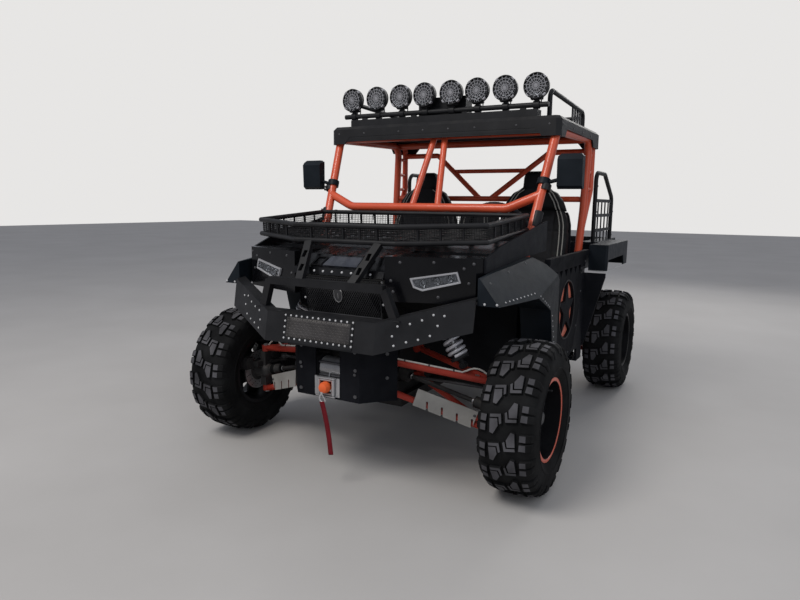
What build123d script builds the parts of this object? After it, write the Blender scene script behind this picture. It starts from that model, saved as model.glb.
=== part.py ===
"""Side-by-side utility vehicle with roll cage, cargo bed, front basket and roof lamps.

+Z is up, the vehicle faces -Y and its left side is +X. The origin is on the ground, in the
middle of the length and of the width. All sizes are millimetres.
"""
from build123d import *
from math import cos, hypot, pi, radians, sin
import os

os.makedirs("parts", exist_ok=True)

# Driving dimensions
wheelbase = 1925
front_overhang = 455
rear_overhang = 570
front_half_track = 822
rear_half_track = 806

front_y = front_overhang - (wheelbase + front_overhang + rear_overhang) / 2
rear_y = front_y + wheelbase
nose_y = front_y - front_overhang
tail_y = rear_y + rear_overhang

# Tyres and wheels
tyre_radius = 343
tyre_width = 249
lug_height = 12
lug_pitches = 18
rim_radius = 178
rim_width = 205
rim_wall = 8
bead_gap = 0.3
disc_offset = 22
disc_thickness = 14
window_count = 8
axle_height = tyre_radius

# Hubs, kingpins and the linkage
kingpin_inset = 142
joint_gap = 0.6
fit_gap = 0.3
axle_radius = 18
hub_ball_radius = 42
brake_disc_radius = 110
brake_disc_inset = 84
upright_above = 110
upright_below = 80
arm_boss_radius = 22
arm_boss_height = 32
arm_tube_radius = 15
arm_sleeve_radius = 20
arm_pivot_x = 190
arm_pivot_spread = 160
upper_pivot_z = 545
lower_pivot_z = 405
gear_case_z = 460
steering_arm_rise = 50
steering_arm_depth = 14
tie_rod_back = 100
tie_rod_inset = 43
tie_rod_radius = 8
rack_housing_length = 260

# Frame
rail_size = 50
rail_x = 172
rail_z = 312
sill_x = 640
bulkhead_half_length = 210
bulkhead_nose_rise = 73
bulkhead_top_z = 600
tower_foot_z = bulkhead_top_z - 60
front_tower_z = 800
rear_tower_z = 745
sheet = 8

# Cabin, measured back from the front axle
firewall_y = front_y + 470
seat_front_y = front_y + 850
cabin_rear_y = front_y + 1425
floor_z = rail_z + rail_size / 2
cowl_z = 1000
cabin_half_width = 700
seat_base_z = 655

# Roll cage
cage_tube = 24
brace_tube = 18
cage_half_width = 685
cage_front_y = front_y + 750
cage_rear_y = front_y + 1500
truss_depth = 100
cage_roof_z = 1662
roof_rise = 20

# Roof
roof_half_width = 720
roof_overhang = 58
roof_top_z = 1735
roof_skin = 8
valance_drop = 105

# Lamps on the roof
lamp_radius = 68
lamp_depth = 70
lamp_z = 1890
lamp_places = (84, 240, 402, 574)

# Bumper
bumper_half_flat = 290
bumper_tip_x = 655
bumper_low_z = 644
bumper_height = 132
bumper_tip_rise = 102
bumper_sweep = 190
bumper_lean = 24
bumper_lip = 60
bumper_sheet = 6

# Front basket, with its lower rim's front edge as the lowest place
rack_front_half = 270
rack_side_half = 630
rack_front_y = front_y - 240
rack_side_y = front_y - 70
rack_rear_y = front_y + 484
rack_floor_z = 1096
rack_wall_height = 72
rack_slope = 3.9
rack_tube = 12

# Doors
door_x = 728
door_thickness = 22
door_front_y = front_y + 500
door_rear_y = front_y + 1315
door_low_z = 400
door_top_z = 985
door_rail = 30
star_radius = 160
star_y = front_y + 888
star_z = 690
hinge_gap = 10
hinge_radius = 9

# Cargo bed
bed_front_y = front_y + 1665
bed_rear_y = rear_y + 525
bed_half_width = 635
bed_floor_z = 850
bed_wall_top_z = 1030
bed_sheet = 12
fender_box_x = 860
fender_box_front_y = front_y + 1400
fender_box_rear_y = front_y + 2100
bed_hinge_y = bed_rear_y - 50
bed_hinge_z = 818
bed_runner_x = 300
pin_radius = 10
hinge_lug_radius = 14


def rod(start, end, radius):
    """Return a round bar between two points."""
    begin = Vector(*start)
    run = Vector(*end) - begin
    return Solid.make_cylinder(radius, run.length, Plane(origin=begin, z_dir=run))


def bent_tube(points, radius, bend):
    """Return a round tube, as a solid bar, along straight runs joined by arcs."""
    path = FilletPolyline(*points, radius=bend)
    return sweep(Plane(origin=path @ 0, z_dir=path % 0) * Circle(radius), path=path)


def beam(start, end, width, height, up=(0, 0, 1)):
    """Return a rectangular bar between two points, its height measured towards up."""
    begin = Vector(*start)
    run = Vector(*end) - begin
    section = Plane(origin=begin, x_dir=Vector(*up).cross(run), z_dir=run)
    return extrude(section * Rectangle(width, height), amount=run.length, dir=run.normalized())


def block(x, y, z):
    """Return a box from its low and high coordinates."""
    centre = ((x[0] + x[1]) / 2, (y[0] + y[1]) / 2, (z[0] + z[1]) / 2)
    return Pos(*centre) * Box(x[1] - x[0], y[1] - y[0], z[1] - z[0])


def side_plate(outline, x, thickness):
    """Return a plate with a (y, z) outline, from x towards +X."""
    face = Plane.YZ.offset(x) * Polygon(*outline, align=None)
    return extrude(face, amount=thickness, dir=(1, 0, 0))


def cross_plate(outline, y, thickness):
    """Return a plate with an (x, z) outline, from y towards +Y."""
    plane = Plane(origin=(0, y, 0), x_dir=(1, 0, 0), z_dir=(0, -1, 0))
    return extrude(plane * Polygon(*outline, align=None), amount=thickness, dir=(0, 1, 0))


def flat_plate(outline, z, thickness):
    """Return a plate with an (x, y) outline, from z upwards."""
    face = Plane.XY.offset(z) * Polygon(*outline, align=None)
    return extrude(face, amount=thickness, dir=(0, 0, 1))


def both_sides(shape):
    """Return a left-hand shape together with its right-hand twin."""
    return shape + mirror(shape, about=Plane.YZ)


def x_ring(profile, centre):
    """Return a solid of revolution about X from (x, radius) points, its middle at centre."""
    face = make_face(Polyline(*[(x, 0, r) for x, r in profile], close=True))
    return Pos(*centre) * revolve(face, axis=Axis.X)


def save(shape, name):
    """Write one sub-part."""
    export_step(shape, f"parts/{name}.step")


# Wheels: a corner is its axle's y and half track, with the side sign, +1 for the left
corners = {
    "fl": (front_y, front_half_track, 1),
    "fr": (front_y, front_half_track, -1),
    "rl": (rear_y, rear_half_track, 1),
    "rr": (rear_y, rear_half_track, -1),
}
crown_half = 88
shoulder_drop = 24

# Tread blocks of one pitch as (across, around) corners: an inner and an outer one, each with its shoulder
inner_lug = ((-122, 34), (-14, 40), (-52, -42), (-122, -40))
outer_lug = ((30, 42), (122, 38), (122, -36), (-20, -46))


def tyre_profile(crown_radius):
    """Return (x, radius) points of the tyre's section below a crown of the given radius."""
    bead = rim_radius + bead_gap
    half = tyre_width / 2
    bead_half = rim_width / 2 - rim_wall
    right = [
        (crown_half, crown_radius),
        (half, crown_radius - shoulder_drop),
        (half, bead + 62),
        (bead_half, bead + 14),
        (bead_half, bead),
    ]
    return [(-x, radius) for x, radius in reversed(right)] + right


def tyre():
    """Return the left-hand tyre about the origin: a carcass ringed by its tread blocks."""
    carcass = x_ring(tyre_profile(tyre_radius - lug_height), (0, 0, 0))
    low = tyre_radius - 4 * lug_height
    half = tyre_width / 2
    section = ((-half, low), (half, low), (half, tyre_radius - shoulder_drop), (crown_half, tyre_radius),
               (-crown_half, tyre_radius), (-half, tyre_radius - shoulder_drop))
    crown = cross_plate(section, -lug_height * 5, lug_height * 10)
    tread = None
    for outline in (inner_lug, outer_lug):
        blank = flat_plate(outline, low, 5 * lug_height) & crown
        for pitch in range(lug_pitches):
            lug = Rot(pitch * 360 / lug_pitches, 0, 0) * blank
            tread = lug if tread is None else tread + lug
    return carcass + tread


def rim():
    """Return the left-hand wheel about the origin: barrel, windowed disc, hub and bead ring."""
    half = rim_width / 2
    flange = rim_radius + 10
    barrel_bore = rim_radius - rim_wall
    disc_low = disc_offset - disc_thickness / 2
    disc_high = disc_offset + disc_thickness / 2
    hub_radius = 48
    cap_radius = 34
    cap_x = disc_high + 34
    bore = axle_radius + fit_gap
    bore_depth = disc_high + 18
    profile = [
        (-half, barrel_bore),
        (-half, flange),
        (-half + rim_wall - 1, flange),
        (-half + rim_wall - 1, rim_radius),
        (half - rim_wall + 1, rim_radius),
        (half - rim_wall + 1, flange),
        (half, flange),
        (half, barrel_bore),
        (disc_high, barrel_bore),
        (disc_high, cap_radius),
        (cap_x, cap_radius - 6),
        (cap_x, 0),
        (bore_depth, 0),
        (bore_depth, bore),
        (disc_low - 8, bore),
        (disc_low - 8, hub_radius),
        (disc_low, hub_radius),
        (disc_low, barrel_bore),
    ]
    wheel = x_ring(profile, (0, 0, 0))
    window = Pos(disc_offset, 0, (barrel_bore + hub_radius) / 2 + 14) * Box(2 * disc_thickness, 44, 56)
    for turn in range(window_count):
        wheel -= Rot(turn * 360 / window_count, 0, 0) * window
    return wheel


left_tyre = tyre()
left_rim = rim()
for corner, (axle_y, half_track, side) in corners.items():
    place = Pos(side * half_track, axle_y, axle_height)
    turn = Rot(0, 0, 0 if side > 0 else 180)
    save(place * turn * left_tyre, f"tyre_{corner}")
    save(place * turn * left_rim, f"rim_{corner}")


def upright(half_track, axle_y, steered):
    """Return a left-hand hub carrier with its brake disc, caliper, stub axle and steering arm."""
    pin_x = half_track - kingpin_inset
    disc_x = half_track - brake_disc_inset
    hub_face = half_track + disc_offset - disc_thickness / 2 - 8 - joint_gap
    carrier = Pos(pin_x, axle_y, axle_height) * Sphere(hub_ball_radius)
    carrier += rod((pin_x, axle_y, axle_height), (disc_x, axle_y, axle_height), hub_ball_radius)
    carrier += block((pin_x - 15, pin_x + 20), (axle_y - 26, axle_y + 26),
                     (axle_height - upright_below, axle_height + upright_above))
    carrier += rod((disc_x - 1, axle_y, axle_height), (disc_x + 6, axle_y, axle_height), brake_disc_radius)
    carrier += rod((disc_x, axle_y, axle_height), (hub_face, axle_y, axle_height), 40)
    carrier += rod((disc_x, axle_y, axle_height), (half_track + 40, axle_y, axle_height), axle_radius)
    carrier += block((disc_x - 22, disc_x + 26), (axle_y - 118, axle_y - 62), (axle_height + 20, axle_height + 82))
    carrier += block((pin_x, disc_x - 15), (axle_y - 70, axle_y), (axle_height + 30, axle_height + 60))
    if steered:
        eye_x = pin_x - tie_rod_inset
        eye_y = axle_y + tie_rod_back
        arm_z = axle_height + steering_arm_rise
        carrier += beam((pin_x, axle_y + 10, arm_z), (eye_x, eye_y, arm_z), 26, steering_arm_depth)
        carrier += Pos(eye_x, eye_y, arm_z) * Cylinder(16, steering_arm_depth)
    return carrier


def wishbone(half_track, axle_y, pivot_z, tip_z, leg_drop=0):
    """Return a left-hand wishbone: two legs, the pivot sleeves and the joint boss."""
    pin_x = half_track - kingpin_inset
    arm = Pos(pin_x, axle_y, tip_z) * Cylinder(arm_boss_radius, arm_boss_height)
    leg_end = (pin_x, axle_y, tip_z - leg_drop)
    for end in (-1, 1):
        pivot = (arm_pivot_x, axle_y + end * arm_pivot_spread, pivot_z)
        arm += rod(pivot, leg_end, arm_tube_radius)
        sleeve_end = (arm_pivot_x, axle_y + end * (arm_pivot_spread - 25), pivot_z)
        sleeve_start = (arm_pivot_x, axle_y + end * (arm_pivot_spread + 25), pivot_z)
        arm += rod(sleeve_start, sleeve_end, arm_sleeve_radius)
    return arm


upper_tip_z = axle_height + upright_above + joint_gap + arm_boss_height / 2
lower_tip_z = axle_height - upright_below - joint_gap - arm_boss_height / 2
lower_leg_drop = 9
lower_leg_z = lower_tip_z - lower_leg_drop
shock_share = 0.66
gusset_share = 0.92
gusset_sheet = 6
shock_top_x = 372
damper_radius = 16
spring_radius = 46
spring_start = 0.26
spring_end = 0.90


def arm_point(half_track, pivot_z, tip_z, share):
    """Return x and z on a wishbone's middle plane at a share of its length."""
    pin_x = half_track - kingpin_inset
    return arm_pivot_x + share * (pin_x - arm_pivot_x), pivot_z + share * (tip_z - pivot_z)


def upper_wishbone(half_track, axle_y):
    """Return the upper wishbone with the cross tube and gusset that carry the shock's eye."""
    arm = wishbone(half_track, axle_y, upper_pivot_z, upper_tip_z)
    x, z = arm_point(half_track, upper_pivot_z, upper_tip_z, shock_share)
    far_x, far_z = arm_point(half_track, upper_pivot_z, upper_tip_z, gusset_share)
    reach = arm_pivot_spread * (1 - shock_share)
    far_reach = arm_pivot_spread * (1 - gusset_share)
    arm += rod((x, axle_y - reach, z), (x, axle_y + reach, z), arm_tube_radius)
    length = hypot(far_x - x, far_z - z)
    plane = Plane(origin=(x, axle_y, z), x_dir=(far_x - x, 0, far_z - z), z_dir=(z - far_z, 0, far_x - x))
    gusset = plane * Polygon((0, -reach), (length, -far_reach), (length, far_reach), (0, reach), align=None)
    return arm + extrude(gusset, amount=gusset_sheet / 2, both=True)


def shock(half_track, axle_y, top_z):
    """Return a left-hand damper with its spring as a sleeve, from the upper wishbone to the tower."""
    low_x, low_z = arm_point(half_track, upper_pivot_z, upper_tip_z, shock_share)
    rise = top_z - rail_size / 2 - low_z - arm_tube_radius
    lean = (low_x - shock_top_x) / hypot(low_x - shock_top_x, rise)
    end_drop = damper_radius * lean + joint_gap
    low = Vector(low_x, axle_y, low_z + arm_tube_radius + end_drop)
    high = Vector(shock_top_x, axle_y, top_z - rail_size / 2 - end_drop)
    run = high - low
    unit = rod(tuple(low), tuple(high), damper_radius)
    return unit + rod(tuple(low + run * spring_start), tuple(low + run * spring_end), spring_radius)


wishbones = None
shocks = None
for half_track, axle_y, top_z in ((front_half_track, front_y, front_tower_z), (rear_half_track, rear_y, rear_tower_z)):
    arms = both_sides(upper_wishbone(half_track, axle_y)
                      + wishbone(half_track, axle_y, lower_pivot_z, lower_tip_z, lower_leg_drop))
    units = both_sides(shock(half_track, axle_y, top_z))
    wishbones = arms if wishbones is None else wishbones + arms
    shocks = units if shocks is None else shocks + units
save(wishbones, "wishbones")
save(shocks, "shocks")
left_knuckle = upright(front_half_track, front_y, True)
save(left_knuckle, "knuckle_left")
save(mirror(left_knuckle, about=Plane.YZ), "knuckle_right")
save(both_sides(upright(rear_half_track, rear_y, False)), "rear_carriers")

# Guard plates stand on the front legs of the lower front wishbones, slotted at their lower edge
guard_sheet = 5
guard_height = 84
guard_rise = 28
guard_start = 0.28
guard_end = 0.82
guard_slots = 4


def guard_point(share, rise):
    """Return a point beside the lower wishbone's front leg, a rise above its middle."""
    x, z = arm_point(front_half_track, lower_pivot_z, lower_leg_z, share)
    y = front_y - arm_pivot_spread * (1 - share)
    leg_run = front_half_track - kingpin_inset - arm_pivot_x
    stand_off = (arm_tube_radius + guard_sheet / 2 + fit_gap) * hypot(leg_run, arm_pivot_spread) / leg_run
    return x, y - stand_off, z + rise


guard = beam(guard_point(guard_start, guard_rise), guard_point(guard_end, guard_rise), guard_sheet, guard_height)
for step in range(guard_slots):
    share = guard_start + (step + 0.8) * (guard_end - guard_start) / guard_slots
    guard -= beam(guard_point(share, guard_rise - guard_height), guard_point(share, guard_rise), 9, 40, up=(0, 1, 0))
save(both_sides(guard), "arm_guards")

# Gear cases on the rails between the bulkhead sheets, and the half shafts with their bellows
plate_x = arm_pivot_x - arm_sleeve_radius - sheet
gear_half = plate_x - fit_gap
shaft_radius = 11


def drive_shaft(half_track, axle_y):
    """Return a left-hand half shaft with its two bellows, from the gear case to the hub ball."""
    inner = Vector(gear_half - 12, axle_y, gear_case_z)
    ball = Vector(half_track - kingpin_inset, axle_y, axle_height)
    outer = ball - (ball - inner).normalized() * (hub_ball_radius + fit_gap)
    run = outer - inner
    shaft = rod(tuple(inner), tuple(outer), shaft_radius)
    shaft += rod(tuple(inner), tuple(inner + run * 0.16), 34)
    return shaft + rod(tuple(inner + run * 0.86), tuple(outer), 27)


drive_line = both_sides(drive_shaft(front_half_track, front_y) + drive_shaft(rear_half_track, rear_y))
for axle_y in (front_y, rear_y):
    drive_line += block((-gear_half, gear_half), (axle_y - 95, axle_y + 70),
                        (floor_z + fit_gap, tower_foot_z - joint_gap))
save(drive_line, "drive_line")

# The rack bar slides in its housing and carries both tie rods
arm_top_z = axle_height + steering_arm_rise + steering_arm_depth / 2
eye_half = tie_rod_radius + 1
rod_z = arm_top_z + joint_gap + eye_half
eye_x = front_half_track - kingpin_inset - tie_rod_inset
rack_y = front_y + tie_rod_back
tie_rods = rod((-eye_x, rack_y, rod_z), (eye_x, rack_y, rod_z), tie_rod_radius)
tie_rods += both_sides(Pos(eye_x, rack_y, rod_z) * Cylinder(17, 2 * eye_half))
save(tie_rods, "tie_rods")

# Frame: rails, cross members, bulkheads that hold the wishbones, towers and sills
rail_front_y = front_y - 30
rail_rear_y = tail_y - 120
sill_front_y = firewall_y + 5
sill_rear_y = cabin_rear_y - 25
frame = both_sides(beam((rail_x, rail_front_y, rail_z), (rail_x, rail_rear_y, rail_z), rail_size, rail_size))
frame += both_sides(beam((sill_x, sill_front_y, rail_z), (sill_x, sill_rear_y, rail_z), rail_size, rail_size))
half_rail = rail_size / 2
cross_members = (
    (rail_front_y + half_rail, rail_x),
    (sill_front_y + half_rail, sill_x),
    ((sill_front_y + sill_rear_y) / 2, sill_x),
    (sill_rear_y - half_rail, sill_x),
    (rear_y - 250, rail_x),
    (rail_rear_y - half_rail, rail_x),
)
for y, half in cross_members:
    frame += beam((-half, y, rail_z), (half, y, rail_z), rail_size, rail_size)
for axle_y, top, nose_rise in ((front_y, front_tower_z, bulkhead_nose_rise), (rear_y, rear_tower_z, 0)):
    side = ((axle_y - bulkhead_half_length, rail_z + nose_rise), (axle_y - 30, rail_z),
            (axle_y + bulkhead_half_length, rail_z), (axle_y + bulkhead_half_length, bulkhead_top_z),
            (axle_y - bulkhead_half_length, bulkhead_top_z))
    side_sheet = side_plate(side, plate_x, sheet)
    side_sheet -= rod((plate_x - 5, axle_y, gear_case_z - 4), (plate_x + 15, axle_y, gear_case_z - 4), 50)
    frame += both_sides(side_sheet)
    frame += both_sides(beam((plate_x, axle_y, tower_foot_z), (plate_x, axle_y, top), 40, 40, up=(0, 1, 0)))
    frame += beam((-shock_top_x - 30, axle_y, top), (shock_top_x + 30, axle_y, top), rail_size, rail_size)
    for end in (-1, 1):
        y = axle_y + end * (bulkhead_half_length - sheet)
        frame += beam((-plate_x, y, bulkhead_top_z - 20), (plate_x, y, bulkhead_top_z - 20), 2 * sheet, 40)
        for pivot_z in (upper_pivot_z, lower_pivot_z):
            pin_y = axle_y + end * arm_pivot_spread
            frame += both_sides(block((plate_x, arm_pivot_x - arm_sleeve_radius - fit_gap),
                                      (pin_y - 20, pin_y + 20), (pivot_z - 18, pivot_z + 18)))
# Cowl beam on two posts carries the feet of the front pillars
cowl_y = front_y + 480
frame += beam((-sill_x, cowl_y, cowl_z - 20), (sill_x, cowl_y, cowl_z - 20), 40, 40)
frame += both_sides(beam((sill_x, sill_front_y + 15, rail_z), (sill_x, sill_front_y + 15, cowl_z - 20),
                         40, 30, up=(0, 1, 0)))
# Rails under the cargo bed, on posts
bed_rail_top = bed_floor_z - bed_sheet - 35 - 0.5
bed_post_reach = 275
for y in (rear_y - bed_post_reach, rear_y + bed_post_reach):
    frame += both_sides(beam((bed_runner_x, y, bed_rail_top - 20), (rail_x, y, rail_z), 40, 40, up=(0, 1, 0)))
frame += both_sides(beam((bed_runner_x, bed_front_y + 20, bed_rail_top - 20),
                         (bed_runner_x, bed_hinge_y - 24, bed_rail_top - 20), 40, 40))
for x in (bed_runner_x - 30, bed_runner_x + 20):
    cheek = block((x, x + 10), (bed_hinge_y - 70, bed_hinge_y), (bed_rail_top - 30, bed_hinge_z + hinge_lug_radius))
    cheek += rod((x, bed_hinge_y, bed_hinge_z), (x + 10, bed_hinge_y, bed_hinge_z), hinge_lug_radius)
    frame += both_sides(cheek)
frame += both_sides(rod((bed_runner_x - 30, bed_hinge_y, bed_hinge_z),
                        (bed_runner_x + 30, bed_hinge_y, bed_hinge_z), pin_radius))
# Posts under the hood, and the steering rack's housing on its bracket
nose_post_y = front_y - 210
nose_post_depth = 24
nose_post_low_z = rail_z + bulkhead_nose_rise + 12
nose_post_top_z = 998
frame += both_sides(beam((rail_x, nose_post_y, nose_post_low_z), (rail_x, nose_post_y, nose_post_top_z),
                         40, nose_post_depth, up=(0, 1, 0)))
half_housing = rack_housing_length / 2
housing = rod((-half_housing, rack_y, rod_z), (half_housing, rack_y, rod_z), 22)
housing += block((-plate_x, plate_x), (rack_y - 8, rack_y + 8), (rod_z - 45, rod_z - 10))
frame += housing
frame -= rod((-plate_x - 60, rack_y, rod_z), (plate_x + 60, rack_y, rod_z), tie_rod_radius + fit_gap)
save(frame, "chassis_frame")

# Guard round the winch: a front plate, two wings swept back, and webs seated on the nose posts
guard_front_y = nose_y + 86
guard_low_z = 392
carrier_low_z = bumper_low_z + 12
guard_top_z = carrier_low_z - fit_gap
guard_half = 170
wing_half = 288
wing_rear_y = front_y - 236
post_front_y = nose_post_y - nose_post_depth / 2
fairlead_z = 447
fairlead_hole = (64, 52)
winch_window_half = 66
winch_window_z = 490
tray_top_z = 465
winch_y = nose_y + 150
skid = block((-guard_half, guard_half), (guard_front_y, guard_front_y + bumper_sheet), (guard_low_z, guard_top_z))
wing_plan = ((guard_half, guard_front_y), (wing_half, wing_rear_y), (wing_half - 7, wing_rear_y + 4),
             (guard_half - bumper_sheet, guard_front_y + bumper_sheet))
web = block((guard_half - bumper_sheet, guard_half), (guard_front_y + 1, post_front_y - fit_gap), (420, 600))
skid += both_sides(flat_plate(wing_plan, guard_low_z, guard_top_z - guard_low_z) + web)
skid += block((-guard_half + 1, guard_half - 1), (winch_y - 54, winch_y + 54), (tray_top_z - bumper_sheet, tray_top_z))
skid -= Pos(0, guard_front_y, fairlead_z) * Box(fairlead_hole[0], 4 * bumper_sheet, fairlead_hole[1])
skid -= block((-winch_window_half, winch_window_half), (guard_front_y - 1, guard_front_y + bumper_sheet + 1),
              (winch_window_z, guard_top_z + 1))
save(skid, "skid_plate")

# Engine and gearbox, one plain block behind and below the seats
save(block((-230, 230), (front_y + 1060, rear_y - 320), (floor_z + fit_gap, 625)), "engine_block")

# Roll cage
cage_x = cage_half_width
foot_x = sill_x - 10
top_front = (cage_x, cage_front_y, cage_roof_z)
pillar_lean = 285 / hypot(285, cage_roof_z - cowl_z)
foot = (foot_x, cage_front_y - 285, cowl_z + cage_tube * pillar_lean + 2 * fit_gap)
top_rear = (cage_x, cage_rear_y, cage_roof_z + roof_rise)
knee = (cage_x - 5, cage_rear_y - 40, 1240)
foot_lean = hypot(knee[0] - sill_x, knee[1] - sill_rear_y + 25) / (knee[2] - rail_z)
cage_foot = (sill_x, sill_rear_y - 25, floor_z + cage_tube * foot_lean + fit_gap)
hoop = bent_tube((foot, top_front, top_rear, knee, cage_foot), cage_tube, (70, 70, 120))
rear_top = (cage_x, cage_rear_y + truss_depth, cage_roof_z + roof_rise)
rear_knee = (cage_x, cage_rear_y + truss_depth, 1370)
rear_low = (cage_x - 8, cage_rear_y - 35, 1140)
cage = hoop + bent_tube((top_rear, rear_top, rear_knee, rear_low), brace_tube + 2, (40, 60))
for z in (1590, 1480, 1375):
    cage += rod((cage_x, cage_rear_y - 6, z), (cage_x, cage_rear_y + truss_depth, z), 11)
cage = both_sides(cage)
cage += rod((-cage_x, cage_front_y + 12, cage_roof_z), (cage_x, cage_front_y + 12, cage_roof_z), cage_tube - 2)
cage += rod((-cage_x, cage_rear_y, cage_roof_z + roof_rise), (cage_x, cage_rear_y, cage_roof_z + roof_rise), cage_tube - 2)


def on_pillar(z):
    """Return the point of the left front pillar's centre line at a height."""
    share = (z - foot[2]) / (top_front[2] - foot[2])
    return tuple(a + share * (b - a) for a, b in zip(foot, top_front))


bar_end = on_pillar(1324)
bar_bend = (487, bar_end[1] - 30, 1250)
mirrored_bend = (-bar_bend[0], bar_bend[1], bar_bend[2])
mirrored_end = (-bar_end[0], bar_end[1], bar_end[2])
cage += bent_tube((bar_end, bar_bend, mirrored_bend, mirrored_end), cage_tube, (110, 110))
strut_top = (32, cage_front_y + 12, cage_roof_z)
strut_foot = (81, bar_bend[1], bar_bend[2])
cage += both_sides(rod(strut_top, strut_foot, brace_tube))
brace_y = cage_rear_y + truss_depth
brace_outer = (cage_x, brace_y, 1617)
brace_bend = (410, brace_y, 1617)
brace_low_z = 1310
brace_foot = (38, cage_rear_y, brace_low_z)
cage += both_sides(bent_tube((brace_outer, brace_bend, brace_foot), brace_tube, 40))
cage += rod((-cage_x, cage_rear_y - 20, brace_low_z), (cage_x, cage_rear_y - 20, brace_low_z), brace_tube)
middle_share = 0.38
middle = [a + middle_share * (b - a) for a, b in zip(brace_bend, brace_foot)]
cage += rod((-middle[0], middle[1], middle[2]), tuple(middle), brace_tube - 4)
save(cage, "roll_cage")

# Roof: a flat skin with a folded valance whose corners drop over the tubes
roof_front_y = cage_front_y - roof_overhang
roof_rear_y = cage_rear_y + truss_depth + roof_overhang - 20
roof_low_z = roof_top_z - valance_drop
roof_bed_z = cage_roof_z + roof_rise + cage_tube + fit_gap
roof = block((-roof_half_width, roof_half_width), (roof_front_y, roof_rear_y), (roof_low_z, roof_top_z))
roof = chamfer(roof.edges().filter_by(Axis.Z), 26)
roof = chamfer(roof.faces().sort_by(Axis.Z)[-1].edges(), 18)
hollow = block((-roof_half_width + roof_skin, roof_half_width - roof_skin),
               (roof_front_y + roof_skin, roof_rear_y - roof_skin), (roof_low_z - 1, roof_bed_z))
hollow = chamfer(hollow.edges().filter_by(Axis.Z), 20)
roof -= hollow
notch_z = roof_low_z + 42
leg = 95
slope = 40
front_notch = ((-roof_half_width + leg, roof_low_z - 5), (roof_half_width - leg, roof_low_z - 5),
               (roof_half_width - leg - slope, notch_z), (-roof_half_width + leg + slope, notch_z))
roof -= cross_plate(front_notch, roof_front_y - 5, roof_rear_y - roof_front_y + 10)
side_notch = ((roof_front_y + leg, roof_low_z - 5), (roof_rear_y - leg - 60, roof_low_z - 5),
              (roof_rear_y - leg - slope - 60, notch_z), (roof_front_y + leg + slope, notch_z))
roof -= side_plate(side_notch, -roof_half_width - 5, 2 * roof_half_width + 10)
save(roof, "roof_panel")

# Roof rack: plinth, lamp bar on stands, junction box and two side loops with slats
bar_z = lamp_z - lamp_radius - 26
bar_y = roof_front_y + 45
plinth_top = roof_top_z + 38
rack_top = block((-585, 585), (roof_front_y + 20, roof_front_y + 95), (roof_top_z, plinth_top))
rack_top += rod((-640, bar_y, bar_z), (640, bar_y, bar_z), 14)
for x in (-500, -162, 162, 500):
    rack_top += block((x - 16, x + 16), (bar_y - 8, bar_y + 8), (plinth_top - 1, bar_z))
box_y = bar_y + lamp_depth / 2 + 4
rack_top += block((-150, 150), (box_y, box_y + 90), (roof_top_z, lamp_z - 10))
loop_x = 620
loop_top = roof_top_z + 150
loop_front = roof_front_y + 130
loop_rear = roof_rear_y - 60
loop = bent_tube(((loop_x, loop_front, roof_top_z), (loop_x, loop_front, loop_top), (loop_x, loop_rear, loop_top - 25),
                  (loop_x, loop_rear, roof_top_z)), 13, (45, 45))
for step in range(4):
    y = loop_rear - 75 - step * 62
    loop += beam((loop_x, y, roof_top_z), (loop_x, y, loop_top - 20), 8, 26, up=(0, 1, 0))
rack_top += both_sides(loop)
rack_top += rod((-loop_x, loop_rear, loop_top - 60), (loop_x, loop_rear, loop_top - 60), 11)
save(rack_top, "roof_rack")


def spot_lamp(x):
    """Return one round lamp with its dished back, lens rim and foot on the lamp bar."""
    centre_y = bar_y
    front = centre_y - lamp_depth / 2
    shell = rod((x, front, lamp_z), (x, front + 30, lamp_z), lamp_radius)
    back = Plane(origin=(x, front + 30, lamp_z), x_dir=(1, 0, 0), z_dir=(0, 1, 0))
    shell += loft([back * Circle(lamp_radius - 4), back.offset(lamp_depth - 30) * Circle(24)])
    return shell + block((x - 13, x + 13), (centre_y - 10, centre_y + 10), (bar_z + 14.3, lamp_z - lamp_radius + 12))


lamps = None
for x in lamp_places:
    pair = both_sides(spot_lamp(x))
    lamps = pair if lamps is None else lamps + pair
save(lamps, "spot_lamps")


def bumper_section(x, y, low_z, height):
    """Return the bumper's folded section at one x, open to the rear."""
    top = low_z + height
    pts = ((y, low_z), (y + bumper_lean, top), (y + bumper_lean + bumper_lip, top + 8),
           (y + bumper_lean + bumper_lip, top + 8 - bumper_sheet), (y + bumper_lean + bumper_sheet, top - bumper_sheet),
           (y + bumper_sheet, low_z))
    return Plane.YZ.offset(x) * Polygon(*pts, align=None)


centre_left = bumper_section(bumper_half_flat, nose_y, bumper_low_z, bumper_height)
centre_right = bumper_section(-bumper_half_flat, nose_y, bumper_low_z, bumper_height)
tip_left = bumper_section(bumper_tip_x, nose_y + bumper_sweep, bumper_low_z + bumper_tip_rise, bumper_height + 4)
bumper = loft([centre_right, centre_left], ruled=True)
bumper += both_sides(loft([centre_left, tip_left], ruled=True))
carrier_z = (carrier_low_z, bumper_low_z + bumper_height - 20)
for x in (rail_x - 14, rail_x + 14):
    bumper += both_sides(block((x - 4, x + 4), (nose_y + bumper_lean, post_front_y - fit_gap), carrier_z))

# Tread plate on the bumper's flat middle, following its lean
tread_half = 185
lean_share = bumper_lean / bumper_height
tread_low = bumper_low_z + 6
tread_high = bumper_low_z + bumper_height - 6


def front_at(z):
    """Return the bumper face's y at a height."""
    return nose_y + (z - bumper_low_z) * lean_share


tread_sheet = 3
tread_section = ((front_at(tread_low) + 1, tread_low), (front_at(tread_high) + 1, tread_high),
                 (front_at(tread_high) - tread_sheet, tread_high), (front_at(tread_low) - tread_sheet, tread_low))
bumper += side_plate(tread_section, -tread_half, 2 * tread_half)

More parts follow.
